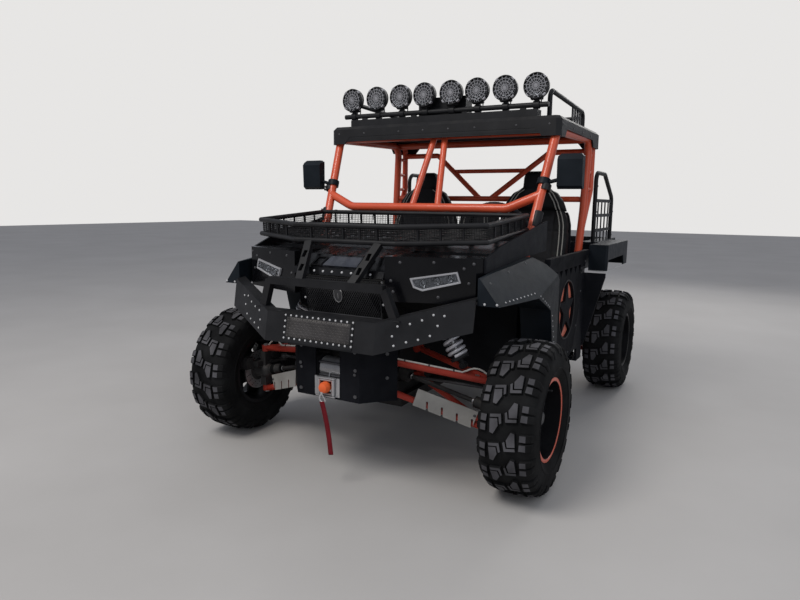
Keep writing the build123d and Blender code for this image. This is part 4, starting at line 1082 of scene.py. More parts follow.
    def add_shoulder(self, work: bmesh.types.BMesh, line: Outline, stations: int) -> None:
        """Add a shoulder lug that wraps over the shoulder and thins out on the sidewall.

        Args:
            work: The bmesh that receives it.
            line: Its outline, out along one flank and back along the other.
            stations: Points along each flank.
        """
        heights = [self.lug_depth * share for share in (0.98, 0.96, 0.72, 0.30)][:stations]
        low, high = line[:stations], list(reversed(line[stations:]))
        grid = []
        for (u0, v0), (u1, v1), height in zip(low, high, heights):
            chamfer = 0.10 * (v1 - v0)
            grid.append([self.spot(u0, v0, -0.003), self.spot(u0, v0, height * 0.78),
                         self.spot(u0, v0 + chamfer, height), self.spot(u1, v1 - chamfer, height),
                         self.spot(u1, v1, height * 0.78), self.spot(u1, v1, -0.003)])
        rows = [[work.verts.new(p) for p in row] for row in grid]
        for station, (first, second) in enumerate(zip(rows, rows[1:])):
            for index in range(5):
                face = work.faces.new((first[index], first[index + 1], second[index + 1], second[index]))
                if index == 2 and station < 1:
                    face.material_index = 1
            work.faces.new((first[5], first[0], second[0], second[5]))
        work.faces.new(rows[0])
        work.faces.new(list(reversed(rows[-1])))

    def grow_tread(self, tyre: bpy.types.Object, template: bpy.types.Object) -> None:
        """Repeat the pitch round the axle by a node tree, and join it to the carcass.

        Args:
            tyre: The carcass, which becomes the tyre.
            template: The object that holds one pitch.
        """
        tree = Growth(f"tread_tree_{self.corner}", (("Pitches", "NodeSocketInt"),))
        count = tree.given["Pitches"]
        line = tree.add("GeometryNodeMeshLine", {"Offset": (0, 0, 0), "Count": count})
        index = tree.add("GeometryNodeInputIndex").outputs[0]
        share = tree.add("ShaderNodeMath", {0: index, 1: count}, operation="DIVIDE").outputs[0]
        angle = tree.add("ShaderNodeMath", {0: share, 1: 2 * math.pi}, operation="MULTIPLY").outputs[0]
        spin = tree.add("FunctionNodeAxisAngleToRotation", {"Axis": (1, 0, 0), "Angle": angle})
        pitch = tree.add("GeometryNodeObjectInfo", {"Object": template})
        lugs = tree.copies(line.outputs["Mesh"], pitch.outputs["Geometry"], spin.outputs[0])
        both = tree.add("GeometryNodeJoinGeometry", {0: tree.given["Given"]})
        tree.fill(both.inputs[0], lugs)
        tree.grow(tyre, both.outputs[0], Pitches=self.pitches)

    def carcass(self) -> bmesh.types.BMesh:
        """Return the tyre's body with its sidewall ring and bead, about the origin.

        Returns:
            The body.
        """
        work = bmesh.new()
        half = [(r, x) for x, r in self.base_line()]
        ring = []
        for r, x in half:
            ring.append((r, x))
            if abs(r - 0.240) < 1e-6:
                ring += [(0.2335, x + 0.0006), (0.2325, x + 0.0022), (0.2265, x + 0.0018),
                         (0.2255, x - 0.0012)]
        inside = [(self.bead_radius + 0.010, 0.086), (0.290, 0.096), (0.312, 0.070)]
        outer = [(r, -x) for r, x in reversed(ring[1:])] + ring
        inner = inside + [(r, -x) for r, x in reversed(inside)]
        add_lathe(work, outer + inner, frame_of((0, 0, 0), (1, 0, 0)), steps=96, closed=True)
        return work

    def build(self) -> None:
        """Make the tyre, and the lip ring, nuts, cap and valve on the rim."""
        tyre = to_object(self.carcass(), f"mud_tyre_{self.corner}", 30)
        template = self.lug_template()
        for material in template.data.materials:
            tyre.data.materials.append(material)
        self.grow_tread(tyre, template)
        bpy.data.objects.remove(template)
        turn = Matrix.Diagonal((self.side, 1, 1, 1))
        tyre.data.transform(Matrix.Translation(self.centre) @ turn)
        if self.side < 0:
            tyre.data.flip_normals()
        soften(tyre.data, 32)
        body = f"wheel_{self.corner}"
        dress(tyre, TYRE_RUBBER, body)
        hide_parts(f"tyre_{self.corner}")
        self.build_lip(body)

    def build_lip(self, body: str) -> None:
        """Add the bead ring, the wheel nuts, the cap and the valve.

        Args:
            body: The wheel's body.
        """
        face_x = self.centre[0] + self.side * 0.1025
        out = (self.side, 0, 0)
        work = bmesh.new()
        place = frame_of((face_x - self.side * 0.006, *self.centre[1:]), out)
        add_lathe(work, [(0.1720, 0.0), (0.1705, 0.0045), (0.1720, 0.0075), (0.1760, 0.0085),
                         (0.1830, 0.0085), (0.1865, 0.0070), (0.1885, 0.0020), (0.1880, -0.0010),
                         (0.1760, -0.0010)], place, 96, True)
        show(work, f"bead_ring_{self.corner}", self.lip_finish, body)
        work = bmesh.new()
        hub_x = self.centre[0] + self.side * 0.029
        for step in range(self.nut_count):
            angle = 2 * math.pi * (step + 0.5) / self.nut_count
            at = (hub_x, self.centre[1] + 0.055 * math.cos(angle), self.centre[2] + 0.055 * math.sin(angle))
            nut = frame_of(at, out)
            add_lathe(work, [(0.0, 0.0), (0.0125, 0.0), (0.0125, 0.004), (0.0100, 0.005), (0.0098, 0.016),
                             (0.0070, 0.021), (0.0, 0.022)], nut, 6)
        cap = frame_of((hub_x + self.side * 0.030, *self.centre[1:]), out)
        add_lathe(work, [(0.0, 0.0), (0.0290, 0.0), (0.0290, 0.0060), (0.0240, 0.0100), (0.0120, 0.0115),
                         (0.0, 0.0118)], cap, 28)
        valve = (self.centre[0] + self.side * 0.045, self.centre[1] + 0.150 * math.cos(0.7),
                 self.centre[2] + 0.150 * math.sin(0.7))
        add_lathe(work, [(0.0, -0.012), (0.0060, -0.012), (0.0060, 0.002), (0.0032, 0.006), (0.0032, 0.020),
                         (0.0040, 0.021), (0.0040, 0.029), (0.0, 0.030)], frame_of(valve, out), 12)
        show(work, f"wheel_nuts_{self.corner}", DARK_BOLT, body)


class Wheels:
    """The four wheels."""

    def build(self) -> None:
        """Build each wheel; only the front rims have an orange ring."""
        for corner, y, half_track, lip in (("f", FRONT_AXLE_Y, FRONT_TRACK, RIM_ORANGE),
                                           ("r", REAR_AXLE_Y, REAR_TRACK, RIM_BLACK)):
            for side, letter in ((1, "l"), (-1, "r")):
                Wheel(corner + letter, (side * half_track, y, AXLE_Z), side, lip).build()


# Finishes of the parts that keep their frame shape


@dataclass
class Bodywork:
    """The frame's own solids that show as they are, each with its finish."""

    finishes: tuple[tuple[Finish, tuple[str, ...]], ...] = (
        (CAGE_PAINT, ("roll_cage",)),
        # The arms take the darker coral paint as painted shade.
        (SHADED_ARM_PAINT, ("wishbones",)),
        (BLACK_STEEL, ("front_bumper", "front_rack", "roof_rack", "bed_racks", "winch", "hitch_receiver")),
        # The doors and the skid plate take the darker steel as painted shade.
        (SHADE_DARKENED_STEEL, ("door_left", "door_right", "skid_plate")),
        (FRAME_STEEL, ("chassis_frame",)),
        (GLOSS_BLACK, ("lamp_panels", "nose_panel")),
        (FENDER_PLASTIC, ("front_fenders", "cargo_bed", "mirrors")),
        (BODY_PLASTIC, ("side_panels", "tailgate", "cabin_tub", "dashboard", "steering_wheel", "seats")),
        (ROOF_PLASTIC, ("roof_panel",)),
        (RIM_BLACK, ("rim_fl", "rim_fr", "rim_rl", "rim_rr")),
        (CAST_IRON, ("knuckle_left", "knuckle_right", "rear_carriers", "drive_line", "engine_block")),
        (DARK_BOLT, ("tie_rods",)),
        (BARE_STEEL, ("fairlead", "shocks")),
        (GUARD_PAINT, ("arm_guards",)),
        (STRAP_RED, ("hook_strap",)),
        (LENS_RED, ("tail_lamps",)),
        (LIGHT_TRIM, ("headlamps", "spot_lamps")),
    )

    def build(self) -> None:
        """Give every node its finish."""
        for finish, names in self.finishes:
            for name in names:
                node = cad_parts[name]
                node.data.materials.clear()
                node.data.materials.append(finish.material())
                log.info("%s in %s", name, finish.name)


# The view


@dataclass
class Studio:
    """The camera at the photograph's angle, a pale floor and soft light."""

    camera_at: tuple[float, float, float] = (1.6185, -3.6501, 1.2690)
    yaw: float = 28.907
    pitch: float = -8.701
    roll: float = 0.650
    focal: float = 628.62
    image_width: int = 800
    floor_size: float = 60.0

    def camera(self) -> None:
        """Set the camera where the photograph was taken."""
        yaw, pitch, roll = (math.radians(a) for a in (self.yaw, self.pitch, self.roll))
        ahead_of = Vector((-math.sin(yaw) * math.cos(pitch), math.cos(yaw) * math.cos(pitch),
                           math.sin(pitch)))
        right = Vector((math.cos(yaw), math.sin(yaw), 0))
        up = right.cross(ahead_of)
        data = bpy.data.cameras.new("camera")
        data.sensor_width = 36.0
        data.lens = self.focal / self.image_width * data.sensor_width
        data.clip_end = 200
        thing = linked("camera", data)
        thing.matrix_world = axes(self.camera_at, right * math.cos(roll) + up * math.sin(roll),
                                  -right * math.sin(roll) + up * math.cos(roll), -ahead_of)
        bpy.context.scene.camera = thing

    def lamp(self, name: str, at: Point, target: Point, size: float, power: float,
             tint: tuple[float, float, float]) -> None:
        """Add one soft round lamp.

        Args:
            name: Its name.
            at: Where it hangs.
            target: The point that it looks at.
            size: Its diameter.
            power: Its power in watts.
            tint: Its colour.
        """
        data = bpy.data.lights.new(name, "AREA")
        data.shape = "DISK"
        data.size = size
        data.energy = power
        data.color = tint
        linked(name, data).matrix_world = frame_of(at, Vector(at) - Vector(target))

    def floor(self) -> None:
        """Lay the pale floor."""
        work = bmesh.new()
        bmesh.ops.create_grid(work, x_segments=1, y_segments=1, size=self.floor_size / 2)
        thing = to_object(work, "studio_floor")
        links = Links("floor_pale")
        shade = links.between(links.noise(0.8, 5.0), 0.3, 0.7)
        colour = links.mix(shade, (0.455, 0.440, 0.425), (0.505, 0.490, 0.475))
        links.fill(links.shader.inputs["Base Color"], colour)
        links.fill(links.shader.inputs["Roughness"], 0.75)
        links.bump(links.noise(60.0), 0.001, 0.2)
        thing.data.materials.append(links.material)

    def world(self) -> None:
        """Light the room softly; the camera and reflections see a pale backdrop."""
        world = bpy.data.worlds.new("studio")
        bpy.context.scene.world = world
        world.use_nodes = True
        world.node_tree.nodes.clear()
        tree = Tree(world.node_tree)
        path = tree.add("ShaderNodeLightPath").outputs
        soft, glint, seen = (tree.add("ShaderNodeBackground",
                                      {"Color": colour, "Strength": strength}).outputs[0]
                             for colour, strength in (((0.88, 0.91, 1.0, 1), 0.42),
                                                      ((0.86, 0.90, 1.0, 1), 0.36),
                                                      ((0.80, 0.79, 0.78, 1), 1.0)))
        rays = tree.add("ShaderNodeMath", {0: path["Is Camera Ray"], 1: path["Is Transmission Ray"]},
                        operation="MAXIMUM").outputs[0]
        lit = tree.add("ShaderNodeMixShader", {0: path["Is Glossy Ray"], 1: soft, 2: glint}).outputs[0]
        last = tree.add("ShaderNodeMixShader", {0: rays, 1: lit, 2: seen}).outputs[0]
        tree.add("ShaderNodeOutputWorld", {0: last})

    def build(self) -> None:
        """Set up the view."""
        bpy.context.scene.view_settings.view_transform = "Standard"
        self.camera()
        self.floor()
        self.world()
        self.lamp("key", (-1.4, -5.0, 6.2), (0, -0.2, 0.8), 3.4, 270.0, (1.0, 0.97, 0.93))
        self.lamp("fill", (4.8, -3.2, 3.4), (0, 0, 0.8), 4.5, 45.0, (0.88, 0.94, 1.0))
        self.lamp("back", (1.0, 6.0, 4.5), (0, 0, 1.0), 4.0, 120.0, (1.0, 0.98, 0.95))


# Roof lamps


@dataclass
class RoofLamps:
    """Round lamps on the roof bar: finned shell, bowl, lens, crossed guard and clamp."""

    places: tuple[float, ...] = (0.084, 0.240, 0.402, 0.574)
    centre_y: float = ahead(0.737)
    height: float = 1.890
    radius: float = 0.068
    depth: float = 0.070
    bar_height: float = 1.796

    def spots(self) -> list[tuple[Point, Point]]:
        """Return every lamp's place, the outer ones turned out a little.

        Returns:
            Pairs of a place and three turning angles.
        """
        found = []
        for x, y, z in mirrored([(x, self.centre_y, self.height) for x in self.places]):
            found.append(((x, y, z), (0.0, 0.0, 0.05 * x)))
        return found

    def forward(self) -> Matrix:
        """Return the place of a lamp's back, its axis running forwards."""
        return frame_of((0, self.depth / 2, 0), (0, -1, 0))

    def shell(self) -> bpy.types.Object:
        """Return the housing with cooling rings and its rim.

        Returns:
            One housing.
        """
        work = bmesh.new()
        r = self.radius
        profile = [(0.0, 0.0), (0.020, 0.0), (0.024, 0.003)]
        for step in range(5):
            at = 0.006 + step * 0.0062
            base = 0.027 + step * 0.0072
            profile += [(base, at), (base + 0.010, at + 0.0006), (base + 0.010, at + 0.0026),
                        (base + 0.002, at + 0.0034)]
        profile += [(r - 0.004, 0.040), (r - 0.002, 0.042), (r, 0.046), (r, 0.066), (r - 0.0015, 0.0695),
                    (r - 0.0055, 0.0695), (r - 0.0065, 0.066), (r - 0.0065, 0.050), (r - 0.012, 0.045),
                    (0.0, 0.043)]
        add_lathe(work, profile, self.forward(), 48)
        for step in range(6):
            angle = 2 * math.pi * (step + 0.5) / 6
            at = Vector((0.0645 * math.cos(angle), -self.depth / 2 + 0.002, 0.0645 * math.sin(angle)))
            add_rod(work, 0.0034, 0.0, 0.002, frame_of(at, (0, -1, 0)), 8, 0.0002)
        return to_object(work, "lamp_shell_solid")

    def bowl(self) -> bpy.types.Object:
        """Return the faceted reflector bowl.

        Returns:
            One bowl.
        """
        work = bmesh.new()
        inner = self.radius - 0.0068
        profile = [(inner, 0.060), (inner - 0.006, 0.0535), (inner - 0.016, 0.0485), (inner - 0.030, 0.0455),
                   (0.012, 0.0442), (0.010, 0.0460), (0.0, 0.0465)]
        add_lathe(work, profile, self.forward(), 24)
        return to_object(work, "lamp_bowl_solid", 12)

    def guard(self) -> bpy.types.Object:
        """Return the guard: crossed bars between two rings, with clips at the rim.

        Returns:
            One guard.
        """
        work = bmesh.new()
        front = -self.depth / 2
        for ring in (0.018, 0.034, 0.050):
            path = [(ring * math.cos(a), front + 0.0015, ring * math.sin(a))
                    for a in (2 * math.pi * s / 40 for s in range(40))]
            add_tube(work, path, 0.0016, 6, closed=True)
        reach = self.radius - 0.0060
        for step in range(8):
            angle = math.pi * step / 8 + 0.26
            out = (reach * math.cos(angle), front + 0.0012, reach * math.sin(angle))
            add_tube(work, [out, (-out[0], out[1], -out[2])], 0.0015, 6)
        for step in range(4):
            angle = math.pi / 4 + step * math.pi / 2
            at = Matrix.Rotation(angle, 4, "Y") @ Matrix.Translation((self.radius - 0.004, front + 0.006, 0))
            add_box(work, (-0.004, -0.007, -0.009), (0.0045, 0.014, 0.009), 0.0015, at)
        add_rod(work, 0.010, 0.0, 0.002, frame_of((0, front + 0.003, 0), (0, -1, 0)), 16, 0.0004)
        return to_object(work, "lamp_guard_solid")

    def bracket(self) -> bpy.types.Object:
        """Return the clamp on the bar, the foot and the bolt that hold one lamp.

        Returns:
            One clamp.
        """
        work = bmesh.new()
        drop = self.height - self.bar_height
        low = -self.radius - 0.001
        add_lathe(work, [(0.0165, -0.017), (0.0200, -0.017), (0.0215, -0.015), (0.0215, 0.015),
                         (0.0200, 0.017), (0.0165, 0.017)], frame_of((0, 0, -drop), (1, 0, 0)), 24, True)
        add_box(work, (-0.013, -0.009, -drop + 0.0175), (0.013, 0.009, low + 0.004), 0.002)
        outline = [(-0.034, low + 0.012), (-0.030, low + 0.001), (0.030, low + 0.001), (0.034, low + 0.012),
                   (0.028, low + 0.012), (0.022, low + 0.006), (-0.022, low + 0.006), (-0.028, low + 0.012)]
        add_prism(work, outline, Matrix.Translation((0, 0.012, 0)) @ Matrix.Rotation(math.pi / 2, 4, "X"),
                  0.024, 0.001)
        add_rod(work, 0.006, 0.0, 0.004, frame_of((0.0215, 0.0, -drop), (1, 0, 0)), 6, 0.0005)
        return to_object(work, "lamp_clamp_solid")

    def build(self) -> None:
        """Build the row of lamps and its wiring."""
        spots = self.spots()
        shells = Repeat("roof_lamp_shells").make(self.shell(), spots, BLACK_STEEL, "lamp_cover")
        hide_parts("spot_lamps")
        Repeat("roof_lamp_bowls").make(self.bowl(), spots, REFLECTOR, "spring_silver")
        Repeat("roof_lamp_guards").make(self.guard(), spots, LAMP_WIRE, "lamp_cover")
        flat = [(at, (0.0, 0.0, 0.0)) for at, _ in spots]
        Repeat("roof_lamp_clamps").make(self.bracket(), flat, BLACK_STEEL, "frame_black")
        work = bmesh.new()
        front = self.depth / 2
        add_lathe(work, [(0.0, 0.0655), (0.030, 0.0650), (0.0605, 0.0620), (0.0605, 0.0595), (0.030, 0.0625),
                         (0.0, 0.0630)], frame_of((0, front, 0), (0, -1, 0)), 32)
        Repeat("roof_lamp_lenses").make(to_object(work, "lamp_lens_solid"), spots, LAMP_GLASS, "lens_clear")
        self.wiring()

    def wiring(self) -> None:
        """Run a short lead from each lamp's back to the loom on the bar."""
        work = bmesh.new()
        for x, y, z in mirrored([(x, self.centre_y, self.height) for x in self.places]):
            path = []
            for step in range(9):
                share = step / 8
                path.append((x + 0.012 * share, y + 0.036 + 0.020 * math.sin(math.pi * share),
                             z - share * (self.height - self.bar_height + 0.002)))
            path.append((x + 0.012, y + 0.016, self.bar_height - 0.002))
            add_tube(work, path, 0.0032, 8)
        show(work, "roof_lamp_leads", BODY_PLASTIC)


# Nose, bumper and winch


@dataclass
class Bumper:
    """Rivets, tread plate and weld beads of the folded front bumper."""

    wing: tuple[tuple[float, float], ...] = (
        (0.373, 0.766), (0.419, 0.777), (0.463, 0.793), (0.504, 0.816), (0.545, 0.813), (0.523, 0.772),
        (0.498, 0.730), (0.455, 0.713), (0.411, 0.702), (0.365, 0.686), (0.356, 0.725))

    def tread(self, skin: Skin) -> None:
        """Raise the crossed bars of the tread plate.

        Args:
            skin: The bumper's outside.
        """
        spots = []
        for column in range(26):
            for row in range(8):
                turn = 0.75 if (column + row) % 2 else -0.75
                spots += skin.from_ahead([(-0.162 + column * 0.01296, 0.678 + row * 0.0112)], False, 0.0004,
                                         turn)
        Studs("tread_plate_bars", Head.BAR, 0.0070, 0.0018).make(spots, TREAD_METAL)

    def sheet(self, skin: Skin) -> None:
        """Lay the tread plate's metal face inside its row of rivets.

        Args:
            skin: The bumper's outside.
        """
        work = bmesh.new()
        rows, columns = 6, 12
        grid = []
        for row in range(rows + 1):
            places = [(-0.170 + column * 0.340 / columns, 0.673 + row * 0.088 / rows)
                      for column in range(columns + 1)]
            grid.append([work.verts.new(spot.at) for spot in skin.from_ahead(places, False, 0.0008)])
        add_grid(work, grid)
        plate = to_object(work, "tread_plate_face")
        thick = plate.modifiers.new("thick", "SOLIDIFY")
        thick.thickness = 0.0012
        thick.offset = -1.0
        apply_modifiers(plate)
        dress(plate, TREAD_METAL)

    def rivets(self, skin: Skin) -> None:
        """Set the rivets round the tread plate and on the wings, pale grey as a painted highlight.

        Args:
            skin: The bumper's outside.
        """
        places = []
        for step in range(13):
            x = -0.181 + step * 0.362 / 12
            places += [(x, 0.7685), (x, 0.6670)]
        places += [(side * 0.181, z) for side in SIDES for z in (0.7425, 0.7165, 0.6905)]
        spots = skin.from_ahead(places, False) + skin.from_ahead(self.wing)
        # The rivets are pale grey as a painted highlight.
        Studs("bumper_rivets", Head.DOME, 0.0050, 0.0024).make(spots, RIVET_HIGHLIGHT)

    def edge_beads(self) -> None:
        """Run a thin weld bead along each fold and a square one round each upright's foot."""
        work = bmesh.new()
        for side in SIDES:
            path = []
            for step in range(7):
                share = step / 6
                path.append((side * (0.252 + 0.054 * share), NOSE_Y + 0.0065 + 0.0290 * share,
                             0.646 + 0.132 * share))
            add_tube(work, path, 0.0018, 8)
        for side in SIDES:
            foot = [(side * (0.360 + x), NOSE_Y + 0.080 + y, 0.7855) for x, y in square(0.022)]
            add_tube(work, foot, 0.0030, 6, closed=True)
        show(work, "bumper_weld_beads", BLACK_STEEL)

    def build(self) -> None:
        """Build the bumper's details."""
        skin = Skin("front_bumper")
        self.sheet(skin)
        self.tread(skin)
        self.rivets(skin)
        self.edge_beads()


@dataclass
class Nose:
    """Grille mesh and shield, rivet strip, hood brackets, headlamps and their panels' bolts."""

    panel_in: float = 0.2453
    panel_bolts: tuple[tuple[float, float], ...] = (
        (0.272, 0.938), (0.282, 0.890), (0.470, 0.873), (0.573, 0.999), (0.594, 0.936), (0.612, 1.020),
        (0.310, 1.018), (0.450, 1.022))
    lens: tuple[tuple[float, float], ...] = (
        (0.112, 0.952), (0.318, 0.986), (0.334, 0.938), (0.168, 0.898), (0.128, 0.912))
    mesh_half: float = 0.200
    mesh_lean: float = 0.62
    mesh_pitch: float = 0.0122

    def lamp_plane(self, rise: float = 0.0) -> Matrix:
        """Return the left lamp panel's plane, raised a little: X runs outwards, Y is up, Z is out of it.

        Args:
            rise: How far it is raised.

        Returns:
            The plane.
        """
        run = Vector((0.622 - self.panel_in, 0.124, 0)).normalized()
        out = Vector((run.y, -run.x, 0))
        return axes(Vector((self.panel_in, ahead(-0.286), 0)) + out * rise, run, (0, 0, 1), out)

    def headlamps(self) -> None:
        """Replace each lens by a frame, a dark inside with three optics, and a clear cover."""
        outline = self.lens
        count = len(outline)
        middle = sum((Vector(p) for p in outline), Vector((0, 0))) / count
        drawn = [tuple(middle + (Vector(p) - middle) * 0.985) for p in outline]
        trims, insides, optics, covers = (bmesh.new() for _ in range(4))
        part = bmesh.new()
        rings = []
        for points, height in ((outline, -0.001), (outline, 0.008), (drawn, 0.010),
                               (self.inset(outline, 0.0062), 0.010), (self.inset(outline, 0.0080), 0.0075),
                               (self.inset(outline, 0.0080), 0.001)):
            rings.append([part.verts.new((x, y, height)) for x, y in points])
        for low, high in zip(rings, rings[1:] + rings[:1]):
            for index in range(count):
                after = (index + 1) % count
                part.faces.new((low[index], low[after], high[after], high[index]))
        merge_into(trims, part, self.lamp_plane())
        add_prism(insides, self.inset(outline, 0.0075), self.lamp_plane(0.0005), 0.0012)
        for x, y, r in ((0.172, 0.932, 0.017), (0.230, 0.945, 0.019), (0.289, 0.957, 0.015)):
            at = self.lamp_plane() @ Matrix.Translation((x, y, 0.0018))
            add_lathe(optics, [(r, 0.0), (r, 0.003), (r - 0.002, 0.0045), (r - 0.004, 0.003),
                               (r * 0.6, 0.0016), (r * 0.35, 0.0030), (0.0, 0.0046)], at, 28)
        bar = ((0.140, 0.915, 0.003), (0.170, 0.907, 0.003), (0.322, 0.944, 0.003))
        add_tube(optics, [self.lamp_plane() @ Vector(p) for p in bar], 0.0022, 8)
        add_prism(covers, self.inset(outline, 0.0078), self.lamp_plane(0.0062), 0.0015)
        for work in (trims, insides, optics, covers):
            add_mirror(work)
        trim = show(trims, "headlamp_frames", LAMP_RIM)
        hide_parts("headlamps")
        show(insides, "headlamp_insides", LAMP_INSIDE)
        show(optics, "headlamp_optics", LAMP_INSIDE)
        show(covers, "headlamp_covers", LAMP_GLASS)

    def inset(self, outline: Outline, distance: float) -> list[tuple[float, float]]:
        """Return a convex outline moved inwards by a distance on every side.

        Args:
            outline: The outline's corners.
            distance: How far each side moves.

        Returns:
            The new corners.
        """
        points = [Vector(p) for p in outline]
        area = sum(a.x * b.y - b.x * a.y for a, b in zip(points, points[1:] + points[:1]))
        sign = 1 if area > 0 else -1
        lines = []
        for first, second in zip(points, points[1:] + points[:1]):
            along = (second - first).normalized()
            inward = Vector((-along.y, along.x)) * sign
            lines.append((first + inward * distance, along))
        moved = []
        for (p, d), (q, e) in zip(lines[-1:] + lines[:-1], lines):
            cross = d.x * e.y - d.y * e.x
            share = ((q - p).x * e.y - (q - p).y * e.x) / cross
            moved.append(tuple(p + d * share))
        return moved

    def bolts(self) -> None:
        """Set the bolts of the lamp panels and the rivets of the strip above the grille."""
        panels = Skin("lamp_panels").from_ahead(self.panel_bolts)
        Studs("lamp_panel_bolts", Head.DOME, 0.0070, 0.0036).make(panels, DARK_BOLT)
        places = [(side * x, 0.960) for x in (0.027, 0.077, 0.127, 0.177) for side in SIDES]
        places += [(side * x, z) for x, z in ((0.218, 0.925), (0.216, 0.822)) for side in SIDES]
        nose = Skin("nose_panel").from_ahead(places, False)
        # The strip's rivets are pale grey as a painted highlight.
        Studs("nose_rivets", Head.DOME, 0.0060, 0.0034).make(nose, RIVET_HIGHLIGHT)

    def grille(self) -> None:
        """Cross the grille's slanting wires inside their frame."""
        work = bmesh.new()
        low = Vector((0, ahead(-0.2334), 0.756))
        high = Vector((0, ahead(-0.2602), 0.926))
        up = (high - low).normalized()
        rise = (high - low).length
        plane = axes(low, (1, 0, 0), up, (0, -up.z, up.y))
        for slant in SIDES:
            for step in range(-9, 34):
                first = (-self.mesh_half + step * self.mesh_pitch, 0.0)
                last = (first[0] + rise * self.mesh_lean * slant, rise)
                ends = [self.clipped(first, last), self.clipped(last, first)]
                if None not in ends:
                    add_tube(work, [plane @ Vector((x, y, 0.0012)) for x, y in ends], 0.00085, 4)
        edge = self.mesh_half + 0.004
        ring = [plane @ Vector((x, y, 0.001))
                for x, y in ((-edge, 0), (edge, 0), (edge, rise), (-edge, rise))]
        add_tube(work, ring, 0.0034, 8, closed=True)
        show(work, "grille_mesh", DARK_BOLT)

    def hood(self) -> None:
        """Put two square brackets on the hood's front slope, and a blue-grey plate that is a painted
        reflection of the sky.
        """
        first = Vector((0, ahead(-0.2850), 0.976))
        slope = (Vector((0, ahead(-0.1950), 1.0262)) - first).normalized()
        face = Vector((0, -slope.z, slope.y))
        work = bmesh.new()
        for side in SIDES:
            place = axes(first + slope * 0.045 + Vector((side * 0.128, 0, 0)) + face * 0.0005, (1, 0, 0),
                         slope, face)
            bent = ((-0.026, -0.034), (0.026, -0.034), (0.026, 0.034), (-0.026, 0.034))
            add_tube(work, [place @ Vector((x, y, 0.004)) for x, y in bent], 0.0052, 4, closed=True)
        show(work, "hood_brackets", BLACK_STEEL)
        # The blue-grey plate is a painted reflection of the sky on the hood's slope.
        work = bmesh.new()
        place = axes(first + slope * 0.014 + face * 0.0004, (1, 0, 0), slope, face)
        add_prism(work, [(-0.094, 0.0), (0.094, 0.0), (0.086, 0.078), (-0.086, 0.078)], place, 0.0035,
                  0.0012)
        show(work, "hood_face", HOOD_SKY_REFLECTION)

    def clipped(self, point: Point, other: Point) -> tuple[float, float] | None:
        """Return the end of a wire moved onto the grille's side edge, or None if it lies outside.

        Args:
            point: The end, as (across, up the grille).
            other: The wire's other end.

        Returns:
            The end on or inside the edge.
        """
        if abs(point[0]) <= self.mesh_half:
            return point[0], point[1]
        edge = math.copysign(self.mesh_half, point[0])
        if (other[0] - edge) * (point[0] - edge) > 0:
            return None
        share = (edge - point[0]) / (other[0] - point[0])
        return edge, point[1] + share * (other[1] - point[1])

    def badge(self) -> None:
        """Put a plain bare shield with a raised outline on the grille."""
        work = bmesh.new()
        up = Vector((0, -0.024, 0.150)).normalized()
        out = Vector((1, 0, 0)).cross(up)
        place = axes(Vector((-0.022, ahead(-0.2466), 0.846)) + out * 0.003, (1, 0, 0), up, out)
        outline = [(-0.022, 0.024), (-0.022, -0.007), (-0.013, -0.024), (0.0, -0.031), (0.013, -0.024),
                   (0.022, -0.007), (0.022, 0.024), (0.011, 0.029), (-0.011, 0.029)]
        add_prism(work, outline, place, 0.003, 0.0008)
        show(work, "nose_shield", DARK_BOLT)
        work = bmesh.new()
        add_tube(work, [tuple(place @ Vector((x, y, 0.0032))) for x, y in outline], 0.0019, 6, closed=True)
        add_tube(work, [tuple(place @ Vector((0.0, y, 0.0032))) for y in (-0.012, 0.012)], 0.0019, 6)
        show(work, "nose_shield_edge", BADGE_GREY)

    def build(self) -> None:
        """Build the nose's details."""
        self.headlamps()
        self.bolts()
        self.grille()
        self.hood()
        self.badge()


